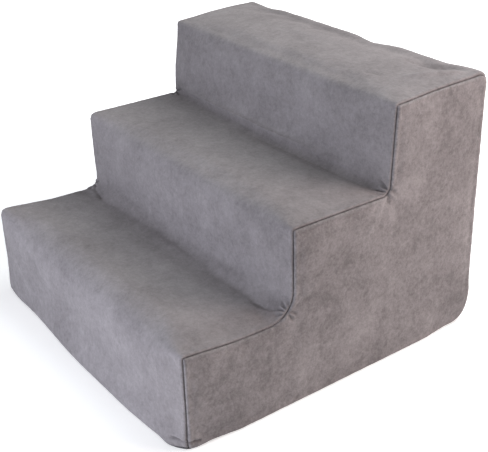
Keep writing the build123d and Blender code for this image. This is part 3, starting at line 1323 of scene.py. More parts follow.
@dataclass
class Cover:
    """The fabric cover: step panel, two sides, back in two parts round the zip, and the canvas underneath."""

    form: StairForm
    spacing: float = 0.0031
    fine: float = 0.00040
    net: float = 0.0023
    valley_depth: float = 0.0016
    valley_width: float = 0.0007
    # Reach of the painted shade along the seam valleys.
    seam_shade_reach: float = 0.00075
    drawn_reach: float = 0.0045
    lip_height: float = 0.00055
    lip_place: float = 0.0030
    lip_width: float = 0.0014
    valley_waver: Ripple = Ripple(0.28, 0.011, 3.1)
    lip_waver: Ripple = Ripple(0.22, 0.008, 8.7)
    seam_grain: Ripple = Ripple(0.00016, 0.0034, 5.3)
    grain_reach: float = 0.006
    broad_swell: Ripple = Ripple(0.0006, 0.085, 1.7)
    small_swell: Ripple = Ripple(0.00020, 0.026, 4.4)
    least_slack: float = 0.3
    slack_reach: float = 0.030
    swell_from_zip: tuple[float, float] = (0.018, 0.030)
    folds_from_zip: tuple[float, float] = (0.006, 0.020)
    folds_from_seam: tuple[float, float] = (0.002, 0.008)
    floor_gap: float = 0.0004
    hem_height: float = 0.010
    hem_raise: float = 0.0003
    hem_fade: float = 0.0018
    fabric_gap: float = 0.0001
    seam_allowance: float = 0.010
    stretching: Stretching = field(default_factory=Stretching)

    def __post_init__(self) -> None:
        """Runs the simulation and lists the folds."""
        rough = self.stretching.spacing
        self.swell = SwellField(*self.stretching.run(Skin(self.form, rough, rough / 3, rough)))
        corners, front = self.form.corners(), self.form.front
        lower, upper = corners[Bend.LOWER_INNER.value][0], corners[Bend.UPPER_INNER.value][0]
        spots = ((lower, 0.100, 0.026), (upper, 0.198, 0.026), (front + 0.010, 0.008, 0.024))
        self.skin = Skin(self.form, self.spacing, self.fine, self.net, spots)
        self.marks = self.folds()
        self.laid: list[tuple[np.ndarray, Faces]] = []

    def folds(self) -> list[Stroke | Dent]:
        """Folds and puckers of the cover, where the photograph shows them, with painted shading: shade in
        creases and pits, light on ridges, and strokes of tone alone that paint light and shade over faces.
        """
        form = self.form
        side, seam, front = form.half_width, form.half_width - 0.0015, form.front
        corners = form.corners()
        riser_2, tread_1 = corners[Bend.LOWER_INNER.value]
        riser_3, tread_2 = corners[Bend.UPPER_INNER.value]
        (nosing_3, top), (_, rear_top) = corners[Bend.UPPER_NOSING.value], corners[Bend.REAR_TOP.value]

        def on_top(*places: tuple[float, float]) -> list[Point]:
            """Points of the top tread over places on the floor."""
            slope = (rear_top - top) / (form.rear - nosing_3)
            return [(x, y, top + slope * (y - nosing_3) + form.upper_tread_crown / 2) for x, y in places]

        def given(*places: Point) -> tuple[Point, ...]:
            """Points that are given in full."""
            return places

        def on_front(*places: tuple[float, float]) -> list[Point]:
            """Points of the front riser, from their X and Z."""
            return [(x, front, z) for x, z in places]

        def on_side(*places: tuple[float, float]) -> list[Point]:
            """Points of the right-hand side, from their Y and Z."""
            return [(side, y, z) for y, z in places]

        # The knots' pits and creases carry painted shade and their ridges painted light.
        lower_knot = Knot(
            Bend.LOWER_INNER,
            (
                Ray("side", -62, 0.016, 0.0015, -0.0014, -0.2),
                Ray("side", -30, 0.015, 0.0014, -0.0012, -0.16),
                Ray("side", -46, 0.015, 0.0014, 0.0012, 0.2),
                Ray("side", -105, 0.012, 0.0014, 0.0009, 0.14),
                Ray("side", 30, 0.055, 0.0026, 0.0009, 0.2),
                Ray("side", 14, 0.04, 0.003, -0.0007, -0.1),
                Ray("strip", 62, 0.013, 0.0013, -0.0013, -0.34),
                Ray("strip", 40, 0.014, 0.0012, 0.0013, 0.34),
                Ray("strip", 22, 0.017, 0.0013, -0.0016, -0.42),
                Ray("strip", 4, 0.014, 0.0013, 0.0015, 0.4),
                Ray("strip", -14, 0.016, 0.0013, -0.0016, -0.42),
                Ray("strip", -30, 0.018, 0.0014, 0.0014, 0.34),
                Ray("strip", -50, 0.016, 0.0013, -0.0012, -0.26),
                Ray("strip", -70, 0.014, 0.0013, 0.001, 0.16),
            ),
            0.0042,
            -0.0026,
        )
        upper_knot = Knot(
            Bend.UPPER_INNER,
            (
                Ray("side", -88, 0.016, 0.0019, -0.0018, -0.34),
                Ray("side", -8, 0.012, 0.0019, -0.0015, -0.28),
                Ray("side", -44, 0.015, 0.0019, 0.0015, 0.26),
                Ray("side", -128, 0.06, 0.003, 0.001, 0.2),
                Ray("side", -112, 0.046, 0.003, -0.0008, -0.1),
                Ray("side", 38, 0.014, 0.0014, -0.0009, -0.1),
                Ray("strip", 52, 0.02, 0.0014, 0.001, 0.14),
                Ray("strip", 28, 0.021, 0.0014, -0.0018, -0.55),
                Ray("strip", 6, 0.017, 0.0014, 0.0016, 0.34),
                Ray("strip", -14, 0.019, 0.0014, -0.0014, -0.36),
                Ray("strip", -30, 0.022, 0.0015, 0.0012, 0.26),
                Ray("strip", -48, 0.02, 0.0014, -0.001, -0.18),
            ),
            0.0046,
            -0.003,
        )
        # A crease with painted shade along it.
        inner_crease = Stroke(0.0024, -0.0019, -0.1, 0.25).over(
            (0.15, riser_2 - 0.021, 0.1058),
            (0.174, riser_2 - 0.015, 0.1072),
            (0.194, riser_2 - 0.01, 0.109),
        )
        # Tucks at the front right foot: painted shade in the creases and dents, painted light on the ridge.
        tucks = [
            Stroke(0.0016, -0.0022, -0.6, 0.15).over(
                *on_front((0.18, 0.0105), (0.189, 0.012), (side, 0.0118))
            ),
            Stroke(0.0016, -0.0022, -0.52, 0.15).over(
                *on_side((front, 0.0118), (front + 0.006, 0.0112), (front + 0.016, 0.0085))
            ),
            Stroke(0.0026, 0.0012, 0.06, 0.15).over(
                (0.172, front, 0.0145), (seam, front, 0.0155), (side, front + 0.018, 0.0125)
            ),
            Dent((side, front, 0.000), 0.0085, -0.0042, -0.18),
            Dent((0.178, front, 0.003), 0.01, 0.0034, -0.08),
        ]
        left_line = (
            *((front, height) for height in (-0.04, 0.106)),
            *((riser_2, height) for height in (0.108, 0.202)),
            *((riser_3, height) for height in (0.203, 0.29)),
        )
        # Rolls and swells: the first three paint light along the rolls at the foot of the top riser and along
        # the crease below them, the rest carry no tone.
        rolls = [
            Stroke(0.0075, 0.0042, 0.08, 0.15).over(
                *[(x, riser_3, 0.2085) for x in (-0.19, 0.07, 0.14)], (0.188, riser_3, 0.206)
            ),
            Stroke(0.014, 0.0066, 0.15, 0.3).over(
                *[(x, riser_3, 0.213) for x in (-0.19, -0.06, 0.062, 0.105)]
            ),
            Stroke(0.0036, -0.0014, 0.06, 0.3).over(
                (-0.06, riser_3 - 0.021, tread_2),
                (0.062, riser_3 - 0.015, tread_2),
                (0.152, riser_3 - 0.014, tread_2),
                (0.195, riser_3 - 0.006, tread_2),
            ),
            Stroke(0.024, 0.0072, 0.0, 0.13).over(*on_front((-0.215, 0.004), (0.215, 0.004))),
            Stroke(0.026, 0.0066, 0.0, 0.4).over(*on_front((-0.15, 0.004), (0.24, 0.004))),
            Stroke(0.03, 0.0045, 0.0, 0.15).over(*on_side((front + 0.015, 0.004), (0.175, 0.004))),
            Stroke(0.03, 0.0033, 0.0, 0.1).over(*on_side((form.rear, 0.315), (form.rear, 0.015))),
            Dent((-side, riser_2 - 0.008, 0.112), 0.016, -0.004),
            Dent((side, form.rear - 0.008, 0.018), 0.028, 0.003),
            Stroke(0.03, 0.0036, 0.0, 0.1).over(*on_side(*left_line)).mirrored(),
            Dent((side, form.rear, rear_top), 0.014, 0.001),
        ]
        # Single strokes: creases and hollows carry painted shade, ridges painted light.
        singles = (
            (given, (0.0016, -0.0013, -0.16), (0.181, -0.179, 0.11), (0.197, -0.1817, 0.11)),
            (on_side, (0.0026, 0.0007, 0.12), (-0.172, 0.106), (-0.16, 0.098), (-0.151, 0.0935)),
            (
                given,
                (0.0018, 0.0003, 0.2),
                (0.152, -0.157, 0.107),
                (0.149, -0.145, 0.106),
                (0.162, -0.133, 0.105),
            ),
            (
                given,
                (0.0018, 0.0002, 0.14),
                (0.13, -0.15, 0.107),
                (0.138, -0.138, 0.105),
                (0.152, -0.134, 0.105),
            ),
            (on_front, (0.008, 0.0012, 0.12), (-0.17, 0.098), (-0.115, 0.088), (-0.06, 0.06)),
            (on_front, (0.008, 0.0009, 0.07), (-0.185, 0.07), (-0.14, 0.04), (-0.11, 0.015)),
            (on_top, (0.0022, -0.0012, -0.3), (0.11, 0.103), (0.142, 0.109)),
            (on_top, (0.0026, -0.0009, -0.16), (0.06, 0.092), (0.096, 0.099)),
            (on_top, (0.004, 0.0034, 0.14), (0.15, 0.112), (0.17, 0.144), (0.179, 0.167), (0.192, 0.193)),
            (on_top, (0.007, -0.0036, -0.22), (0.112, 0.158), (0.15, 0.172), (0.178, 0.184)),
            (on_top, (0.0075, 0.006, 0.0, 0.3), (0.03, 0.19), (0.12, 0.193), (0.215, 0.195)),
            (on_top, (0.011, 0.0036, 0.0, 0.2), (-0.17, 0.188), (-0.06, 0.19), (0.04, 0.191)),
            (on_top, (0.01, 0.0009, 0.08), (0.02, 0.15), (-0.08, 0.135)),
            (on_top, (0.012, -0.001, -0.06), (0.08, 0.165), (-0.02, 0.172)),
            # These five carry no height and only paint light and shade over whole faces: painted shade low at
            # the front of the side, painted light high at its back, painted shade on the second riser's right
            # part and on the second tread, painted light on the first tread.
            (on_side, (0.06, 0.0, -0.24), (front, 0.03), (-0.05, 0.02)),
            (on_side, (0.07, 0.0, 0.12), (0.02, 0.09), (0.17, 0.22)),
            (given, (0.04, 0.0, -0.18), (0.165, riser_2, 0.22), (0.155, riser_2, 0.115)),
            (given, (0.045, 0.0, -0.1), (0.03, -0.03, tread_2), (0.185, -0.01, tread_2)),
            (given, (0.045, 0.0, 0.11), (0.000, -0.11, tread_1), (0.19, -0.125, tread_1)),
        )
        both = [*lower_knot.marks(form), *upper_knot.marks(form), inner_crease]
        strokes = [Stroke(*section).over(*on_face(*places)) for on_face, section, *places in singles]
        return both + [mark.mirrored() for mark in both] + tucks + rolls + strokes

    def shaped(self, patch: Patch) -> tuple[np.ndarray, np.ndarray]:
        """Works the swell, the seams and the folds into a patch of the skin.

        Args:
            patch: The patch at rest.

        Returns:
            Its points, and the painted shading at each of them.
        """
        points, seam = patch.points, patch.seam
        relief = -self.valley_depth * (1 + self.valley_waver.over(points)) * bell(seam / self.valley_width)
        lip = bell((seam - self.lip_place) / self.lip_width)
        relief += self.lip_height * (1 + self.lip_waver.over(points)) * lip
        relief += self.seam_grain.over(points) * bell(seam / self.grain_reach)
        slack = self.least_slack + (1 - self.least_slack) * smooth_step(seam / self.slack_reach)
        free = self.broad_swell.over(points) * slack + self.small_swell.over(points) * slack
        nap = np.zeros(len(points))
        from_zip = self.form.from_zip(points)
        loose = rising(from_zip, *self.swell_from_zip)
        folding = 1 - (1 - rising(from_zip, *self.folds_from_zip)) * rising(seam, *self.folds_from_seam)
        for mark in self.marks:
            weight = mark.weight(points)
            relief += mark.height * weight * folding
            # Each mark's tone adds painted shading.
            nap += mark.tone * weight
        hem_end = self.form.slot_half_height + self.hem_height
        relief += self.hem_raise * (1 - rising(from_zip, hem_end, self.hem_fade))
        swell = self.swell.at(points)
        moved = points + (swell * slack[:, None] + patch.normals * free[:, None]) * loose[:, None]
        moved += patch.normals * relief[:, None]
        moved[:, 2] = np.maximum(moved[:, 2], self.floor_gap)
        return moved, nap

    def panel(self, name: str, patch: Patch, zip_seam: Seam | None = None) -> bpy.types.Object:
        """Makes one panel of the cover, as thick as the fabric.

        Args:
            name: Name of the panel.
            patch: The panel at rest.
            zip_seam: The edge that is hemmed along the zip, if it has one.

        Returns:
            The panel.
        """
        points, nap = self.shaped(patch)
        faces = patch.faces
        self.laid.append((points, faces))
        if zip_seam:
            points, faces = self._hemmed(points, faces, zip_seam)
        made = piece_from(name, points, faces)
        # Masks for the material: the first paints shade along the seam valleys, the second sets where pucker
        # noise bumps the fabric and paints its shading. The marks' painted shading is held beside them.
        sewn, drawn = bell(patch.seam / self.seam_shade_reach), bell(patch.seam / self.drawn_reach)
        for label, given in (("nap", nap), ("sewn", sewn), ("drawn", drawn)):
            hold_values(made, label, np.pad(given, (0, len(points) - len(given))))
        fabric = made.modifiers.new("fabric", "SOLIDIFY")
        fabric.thickness = self.form.fabric_thickness - self.fabric_gap
        fabric.offset = -1.0
        fabric.use_even_offset = False
        return settled(made)

    def inner_side(self) -> BVHTree:
        """The inner side of the laid panels, for what fills the cover."""
        shape = bmesh.new()
        for points, faces in self.laid:
            made = [shape.verts.new(point) for point in points.tolist()]
            for face in faces:
                shape.faces.new([made[i] for i in face])
        bmesh.ops.remove_doubles(shape, verts=shape.verts, dist=1e-4)
        shape.normal_update()
        for vertex in shape.verts:
            vertex.co -= vertex.normal * self.form.fabric_thickness
        tree = BVHTree.FromBMesh(shape)
        shape.free()
        return tree

    def _hemmed(self, points: np.ndarray, faces: Faces, zip_seam: Seam) -> tuple[np.ndarray, Faces]:
        """Turns a back panel's edge in along the zip.

        Args:
            points: The panel's points, row by row.
            faces: Its faces.
            zip_seam: The edge, which is the first row of the lower panel and the last one of the upper.

        Returns:
            The points and the faces with the hem's.
        """
        columns, thick = len(self.skin.columns), self.form.fabric_thickness
        lower = zip_seam is Seam.ZIP_LOWER
        first, towards = (0, 1.0) if lower else (len(points) - columns, -1.0)
        edge = points[first : first + columns]
        angles = np.linspace(0.0, math.pi, 7)[1:]
        moves = [(-thick * (1 - math.cos(a)), towards * thick * math.sin(a)) for a in angles]
        reaches = np.linspace(0.0, self.hem_height - thick, 5)[1:]
        moves += [(-2 * thick, -towards * reach) for reach in reaches]
        hem = np.vstack([edge + [0.0, back, up] for back, up in moves])
        index = np.concatenate([np.arange(first, first + columns), len(points) + np.arange(len(hem))])
        grid = grid_faces(index.reshape(-1, columns))
        return np.vstack([points, hem]), faces + [face[::-1] if lower else face for face in grid]

    def build(self, finishes: Finishes) -> dict[str, bpy.types.Object]:
        """Builds and dresses every panel.

        Args:
            finishes: The materials.

        Returns:
            The panels by name.
        """
        skin = self.skin
        around = Skin.around
        panels = {
            "step_panel": self.panel("cover_step_panel", skin.strip("step")),
            "side_panel_right": self.panel("cover_side_right", skin.side(Side.RIGHT, around)),
            "side_panel_left": self.panel("cover_side_left", skin.side(Side.LEFT, around)),
            "back_panel_upper": self.panel("cover_back_upper", skin.strip("back_upper"), Seam.ZIP_UPPER),
            "back_panel_lower": self.panel("cover_back_lower", skin.strip("back_lower"), Seam.ZIP_LOWER),
            "bottom_panel": self.panel("cover_bottom", skin.strip("bottom")),
        }
        for node, panel in panels.items():
            underneath = node == "bottom_panel"
            suede = finishes.smooth_suede if node == "step_panel" else finishes.suede
            material = finishes.canvas if underneath else suede
            dress(panel, material, STAIRS, [node])
        self.declare()
        return panels

    def declare(self) -> None:
        """Works out the size each panel was cut to, and the area of the side outline, and keeps none of them.
        """
        form, allowance = self.form, 2 * self.seam_allowance
        edge = self.skin.outlines[len(self.skin.outlines) // 2]
        marks = edge.marks
        width = 2 * form.half_girth + allowance
        step_length = marks[Seam.REAR_TOP] - marks[Seam.FRONT_BOTTOM] + allowance
        upper = marks[Seam.ZIP_UPPER] - marks[Seam.REAR_TOP] + self.hem_height + self.seam_allowance
        lower = marks[Seam.REAR_BOTTOM] - marks[Seam.ZIP_LOWER] + self.hem_height + self.seam_allowance
        bottom = marks[Seam.CLOSING] - marks[Seam.REAR_BOTTOM] + allowance
        depth, height = form.rear - form.front + allowance, form.rear_top_height + allowance
        ring = edge.points[:-1]
        ahead = np.roll(ring, -1, axis=0)
        outline_area = abs(float(np.sum(ring[:, 0] * ahead[:, 1] - ahead[:, 0] * ring[:, 1]))) / 2


def copied_solid(node: str, name: str) -> bpy.types.Object:
    """A copy of a node's mesh with its loose triangles merged.

    Args:
        node: Node of the frame.
        name: Name of the copy.

    Returns:
        The copy.
    """
    shape = bmesh.new()
    shape.from_mesh(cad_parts[node].data)
    bmesh.ops.remove_doubles(shape, verts=shape.verts, dist=2e-6)
    bmesh.ops.dissolve_limit(shape, angle_limit=math.radians(0.5), verts=shape.verts, edges=shape.edges)
    mesh = bpy.data.meshes.new(name)
    shape.to_mesh(mesh)
    shape.free()
    return in_scene(mesh)


@dataclass
class FoamCore:
    """Three foam slabs that fill the cover and take its shape, with sawn faces where they meet."""

    cover: Cover
    cell: float = 0.0045
    clearance: float = 0.0004
    reach: float = 0.012
    zip_clear: float = 0.026
    saw_wave: float = 0.0003
    saw_length: float = 0.018
    follow_gain: float = 1.6
    follow_loss: float = 0.4
    passes: int = 4

    def build(self, finishes: Finishes) -> None:
        """Builds and dresses the slabs."""
        skin = self.cover.inner_side()
        for level in ("bottom", "middle", "top"):
            node = f"foam_slab_{level}"
            slab = copied_solid(node, f"foam_core_{level}")
            net = slab.modifiers.new("net", "REMESH")
            net.mode = "VOXEL"
            net.voxel_size = self.cell
            net.use_smooth_shade = True
            settled(slab)
            self._press(slab, skin)
            dress(slab, finishes.foam, STAIRS, [node])

    def _press(self, slab: bpy.types.Object, skin: BVHTree) -> None:
        """Brings a slab's outer faces up against the cover and keeps all of it inside.

        Args:
            slab: The slab.
            skin: Inner side of the cover.
        """
        form = self.cover.form
        normals = [vertex.normal.copy() for vertex in slab.data.vertices]
        for vertex, normal in zip(slab.data.vertices, normals):
            place, facing, _, distance = skin.find_nearest(vertex.co)
            outside = (vertex.co - place).dot(facing)
            saw = self.saw_wave * (1 + noise.noise(vertex.co / self.saw_length))
            target = place - facing * (self.clearance + saw)
            at_back, from_zip = vertex.co.y > form.rear - self.reach, abs(vertex.co.z - form.zip_height)
            eased = float(smooth_step(self.follow_gain * normal.dot(facing) - self.follow_loss))
            follows = 0.0 if at_back and from_zip < self.zip_clear else eased
            if distance < self.reach and outside < 0:
                vertex.co = vertex.co.lerp(target, follows)
            elif outside > -self.clearance:
                vertex.co = target
        slab.data.update()
        for _ in range(self.passes):
            self._tuck_in(slab, skin)

    def _tuck_in(self, slab: bpy.types.Object, skin: BVHTree) -> None:
        """Moves faces that reach through the cover between their corners back inside.

        Args:
            slab: The slab.
            skin: Inner side of the cover.
        """
        pushes: dict[int, Vector] = {}
        for face in slab.data.polygons:
            place, facing, _, _ = skin.find_nearest(face.center)
            excess = (face.center - place).dot(facing) + self.clearance
            if excess > 0:
                for i in face.vertices:
                    if i not in pushes or pushes[i].length < excess:
                        pushes[i] = facing * excess
        for i, push in pushes.items():
            slab.data.vertices[i].co -= push
        slab.data.update()


class CopyTree(TreeBuilder):
    """Geometry tree that makes copies of an object, and gives them one material."""

    def __init__(self, name: str, sockets: Mapping[str, str]) -> None:
        """Makes the tree and its inputs.

        Args:
            name: Name of the tree.
            sockets: Kind of each input, without "NodeSocket", by the input's name.
        """
        super().__init__(bpy.data.node_groups.new(name, "GeometryNodeTree"))
        interface = self.tree.interface
        self.inputs = {
            label: interface.new_socket(label, in_out="INPUT", socket_type=f"NodeSocket{kind}").identifier
            for label, kind in sockets.items()
        }
        interface.new_socket("Pieces", in_out="OUTPUT", socket_type="NodeSocketGeometry")
        self.given = self.node("NodeGroupInput").outputs

    def copies(self, points: bpy.types.NodeSocket, **turned: bpy.types.NodeSocket) -> bpy.types.NodeSocket:
        """Copies of the given item on points, made real. They may be turned by a Rotation."""
        item = self.node("GeometryNodeObjectInfo", None, {"Object": self.given["Item"]})
        inputs = {"Points": points, "Instance": item.outputs["Geometry"], **turned}
        placed = self.node("GeometryNodeInstanceOnPoints", None, inputs)
        return self.node("GeometryNodeRealizeInstances", None, {0: placed.outputs[0]}).outputs[0]

    def finish(self, pieces: bpy.types.NodeSocket) -> None:
        """Gives the pieces the material and leads them out of the tree."""
        made = self.node("GeometryNodeSetMaterial", None, {0: pieces, "Material": self.given["Finish"]})
        self.node("NodeGroupOutput", None, {0: made.outputs[0]})

    def applied(self, name: str, path: Sequence[Point], values: Mapping[str, Any]) -> bpy.types.Object:
        """Makes a plain mesh with the tree.

        Args:
            name: Name of the new piece.
            path: Points of the line that goes in, which may be none.
            values: Value of each input by its name.

        Returns:
            The piece.
        """
        mesh = bpy.data.meshes.new(name)
        mesh.from_pydata(path, [(i, i + 1) for i in range(len(path) - 1)], [])
        made = in_scene(mesh)
        copier = made.modifiers.new("copies", "NODES")
        copier.node_group = self.tree
        for key, value in values.items():
            copier[self.inputs[key]] = value
        return settled(made)


class Repeater(CopyTree):
    """Geometry tree that sets copies of one object at even places along a path."""

    def __init__(self) -> None:
        """Builds the tree."""
        kinds = {"Path": "Geometry", "Item": "Object", "Copies": "Int", "Sway": "Float", "Seed": "Int"}
        super().__init__("copies_along_path", {**kinds, "Finish": "Material"})
        given = self.given
        curve = self.node("GeometryNodeMeshToCurve", None, {"Mesh": given["Path"]}).outputs[0]
        inputs = {"Curve": curve, "Count": given["Copies"]}
        spots = self.node("GeometryNodeResampleCurve", {"mode": "COUNT"}, inputs)
        ahead = self.node("GeometryNodeInputTangent").outputs[0]
        facing = self.node("FunctionNodeAlignRotationToVector", {"axis": "X"}, {"Vector": ahead})
        inputs = {0: (-1.0, -1.0, -1.0), 1: (1.0, 1.0, 1.0), "Seed": given["Seed"]}
        random = self.node("FunctionNodeRandomValue", {"data_type": "FLOAT_VECTOR"}, inputs)
        inputs = {0: random.outputs[0], "Scale": given["Sway"]}
        sway = self.node("ShaderNodeVectorMath", {"operation": "SCALE"}, inputs)
        turn = self.node("FunctionNodeEulerToRotation", None, {0: sway.outputs[0]})
        turned = self.node("FunctionNodeRotateRotation", None, {0: facing.outputs[0], 1: turn.outputs[0]})
        self.finish(self.copies(spots.outputs[0], Rotation=turned.outputs[0]))

    def run(
        self,
        name: str,
        path: np.ndarray,
        item: bpy.types.Object,
        copies: int,
        finish: bpy.types.Material,
        sway: float = 0.0,
        seed: int = 1,
    ) -> bpy.types.Object:
        """Sets copies along a path and turns them into one plain mesh.

        Args:
            name: Name of the new piece.
            path: Points of the path.
            item: What is repeated, around the origin, with X along the path.
            copies: Number of copies.
            finish: Their material.
            sway: How far each is turned at random, in radians.
            seed: Seed of the random turns.

        Returns:
            The piece.
        """
        values = {"Item": item, "Copies": copies, "Sway": sway, "Seed": seed, "Finish": finish}
        return self.applied(name, np.asarray(path).tolist(), values)


class DotField(CopyTree):
    """Geometry tree that spreads copies of one object over a rectangle, each row shifted by half a pitch."""

    def __init__(self) -> None:
        """Builds the tree."""
        kinds = {"Base": "Geometry", "Item": "Object", "Columns": "Int", "Rows": "Int", "Pitch": "Float"}
        super().__init__("staggered_field", {**kinds, "Centre": "Vector", "Finish": "Material"})
        both = self.node("GeometryNodeJoinGeometry")
        for fewer in (0.0, 1.0):
            self.tree.links.new(self._grid(fewer), both.inputs[0])
        inputs = {0: self.copies(both.outputs[0]), "Translation": self.given["Centre"]}
        self.finish(self.node("GeometryNodeTransform", None, inputs).outputs[0])

    def _grid(self, fewer: float) -> bpy.types.NodeSocket:
        """Points of every second row, with one row and column fewer where they sit between the others."""
        columns, rows, pitch = (Signal(self, self.given[name]) for name in ("Columns", "Rows", "Pitch"))
        columns, rows = columns - fewer, rows - fewer
        width, depth = (columns - 1.0) * pitch, (rows - 1.0) * (pitch * math.sqrt(3))
        inputs = {"Size X": width, "Size Y": depth, "Vertices X": columns, "Vertices Y": rows}
        return self.node("GeometryNodeMeshGrid", None, inputs).outputs[0]


def lathe(rings: Sequence[tuple[float, float]], sides: int, axis: str = "Z") -> tuple[np.ndarray, Faces]:
    """Points and faces of a round shape, closed at both ends.

    Args:
        rings: Radius and height of each ring, from one end to the other.
        sides: Points in each ring.
        axis: Axis that it is turned about.

    Returns:
        The points and the faces.
    """
    angles = np.arange(sides) * 2 * math.pi / sides
    circle = np.column_stack([np.cos(angles), np.sin(angles)])
    layers = [np.column_stack([radius * circle, np.full(sides, height)]) for radius, height in rings]
    points = np.vstack(layers)
    return (points[:, [2, 0, 1]] if axis == "X" else points), ring_faces(len(rings), sides)


@dataclass
class GripUnderside:
    """Rubber dots printed on the canvas under the stairs."""

    form: StairForm
    pitch: float = 0.009
    dot_radius: float = 0.0021
    dot_height: float = 0.0009
    margin: float = 0.014

    def build(self, finishes: Finishes) -> None:
        """Builds and dresses the dots."""
        heel = self.form.bends[Bend.HEEL].at_seam
        width = 2 * (self.form.flat_half_width - self.margin)
        near, far = self.form.front + self.margin, self.form.rear - heel
        columns = int(width / self.pitch) + 1
        rows = int((far - near) / (self.pitch * math.sqrt(3))) + 1
        top, radius = self.dot_height, self.dot_radius
        rings = [(radius * 0.45, 0.0), (radius * 0.82, top * 0.14), (radius, top * 0.45), (radius, top)]
        dot = piece_from("dot_pattern", *lathe(rings, 10))
        centre = (0.0, (near + far) / 2, 0.0)
        values = {"Item": dot, "Columns": columns, "Rows": rows, "Pitch": self.pitch, "Centre": centre}
        dots = DotField().applied("grip_dots", [], {**values, "Finish": finishes.rubber})
        discard(dot)
        dress(dots, finishes.rubber, STAIRS)


@dataclass
class ZipFastener:
    """Zip across the back: woven tapes, moulded teeth, stops, slider and pull, sewn behind the hems."""

    form: StairForm
    cover: Cover
    tape_bead_radius: float = 0.0005
    tape_division: float = 0.0022
    tooth_pitch: float = 0.0032
    tooth_thickness: float = 0.0022
    tooth_edge: float = 0.00018
    root_half_width: float = 0.00095
    tooth_half: tuple[tuple[float, float], ...] = (
        (0.000589, 0.0027),
        (0.00095, 0.0023),
        (0.00095, 0.0017),
        (0.00068, 0.0010),
        (0.00080, -0.00045),
        (0.000688, -0.00072),
        (0.000416, -0.00085),
    )
    tape_lines: tuple[float, ...] = (0.0022, 0.0060, 0.0095)
    metal_edge: float = 0.00014
    stitch_pitch: float = 0.0031
    stitch_length: float = 0.0024
    stitch_radius: float = 0.00024
    stitch_rows: tuple[float, float] = (0.0026, 0.0088)
    stitch_lift: float = 0.55
    stitch_sway: float = 0.05
    path_step: float = 0.004
    tack_length: float = 0.0115
    tack_ends: tuple[float, float] = (0.0035, 0.0068)
    tack_threads: int = 9
    tack_sway: float = 0.04

    def build(self, finishes: Finishes) -> None:
        """Builds and dresses every piece of the zip."""
        repeater = Repeater()
        self._tapes(finishes)
        self._teeth(repeater, finishes)
        self._sewing(repeater, finishes)
        for node, name, body, finish, slot in (
            ("zip_top_stops", "zip_stops_top", STAIRS, finishes.plastic, "zip_plastic"),
            ("zip_bottom_stop", "zip_stop_bottom", STAIRS, finishes.plastic, "zip_plastic"),
            ("zip_slider", "zip_slider_cast", "slider", finishes.enamel, "zip_metal"),
            ("zip_pull", "zip_pull_tab", "pull", finishes.enamel, "zip_metal"),
        ):
            dress(self._softened(node, name), finish, body, [node])

    def _softened(self, node: str, name: str) -> bpy.types.Object:
        """A copy of a rigid node with its sharp edges broken."""
        made = copied_solid(node, name)
        edges = made.modifiers.new("broken_edges", "BEVEL")
        edges.width, edges.segments = self.metal_edge, 2
        edges.limit_method, edges.angle_limit = "ANGLE", math.radians(35)
        settled(made)
        made.data.polygons.foreach_set("use_smooth", [True] * len(made.data.polygons))
        made.data.set_sharp_from_angle(angle=math.radians(38))
        return made

    def _tapes(self, finishes: Finishes) -> None:
        """Two woven tapes, each with a beaded edge under its teeth."""
        for row in ("upper", "lower"):
            low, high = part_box(f"zip_tape_{row}")
            inner, outer = (low.z, high.z) if row == "upper" else (high.z, low.z)
            away = math.copysign(1.0, outer - inner)
            middle, half = (low.y + high.y) / 2, (high.y - low.y) / 2
            bead = self.tape_bead_radius
            section = []
            for angle in np.linspace(-0.5 * math.pi, -1.5 * math.pi, 9):
                section.append((middle + bead * math.sin(angle), inner + away * bead * (1 + math.cos(angle))))
            section += [(middle + half, inner + away * reach) for reach in self.tape_lines]
            for angle in np.linspace(0.5 * math.pi, -0.5 * math.pi, 5):
                section.append((middle + half * math.sin(angle), outer - away * half * (1 - math.cos(angle))))
            section += [(middle - half, inner + away * reach) for reach in self.tape_lines[::-1]]
            across = np.linspace(low.x, high.x, int((high.x - low.x) / self.tape_division) + 1)
            points = [(x, y, z) for x in across for y, z in section]
            faces = ring_faces(len(across), len(section))
            tape = piece_from(f"zip_tape_woven_{row}", np.array(points), faces)
            outward(tape)
            dress(tape, finishes.tape, STAIRS, [f"zip_tape_{row}"])

    def _tooth(self) -> bpy.types.Object:
        """One moulded tooth of the upper row, with a waisted neck and a rounded head."""
        outline = np.array([*((-x, z) for x, z in self.tooth_half[::-1]), *self.tooth_half])
        centre = outline.mean(axis=0)
        reach = np.linalg.norm(outline - centre, axis=1, keepdims=True)
        narrow = outline - (outline - centre) / reach * self.tooth_edge
        outer = self.tooth_thickness / 2
        inner = outer - self.tooth_edge
        layers = []
        for y, ring in ((-outer, narrow), (-inner, outline), (inner, outline), (outer, narrow)):
            layers.append(np.column_stack([ring[:, 0], np.full(len(ring), y), ring[:, 1]]))
        faces = ring_faces(len(layers), len(outline))
        tooth = piece_from("tooth_pattern", np.vstack(layers), faces)
        outward(tooth)
        tooth.data.polygons.foreach_set("use_smooth", [False] * len(faces))
        return tooth

    def _teeth(self, repeater: Repeater, finishes: Finishes) -> None:
        """Both rows of teeth, the lower one half a pitch further on and the other way up."""
        tooth = self._tooth()
        for row in ("upper", "lower"):
            low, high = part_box(f"zip_teeth_{row}")
            start, end = low.x + self.root_half_width, high.x - self.root_half_width
            copies = round((end - start) / self.tooth_pitch) + 1
            if row == "lower":
                tooth.data.transform(Matrix.Diagonal((1.0, 1.0, -1.0, 1.0)))
                tooth.data.flip_normals()
            depth = (low.y + high.y) / 2
            path = np.array([(start, depth, self.form.zip_height), (end, depth, self.form.zip_height)])
            made = repeater.run(f"zip_teeth_row_{row}", path, tooth, copies, finishes.plastic)
            dress(made, finishes.plastic, STAIRS, [f"zip_teeth_{row}"])
        discard(tooth)

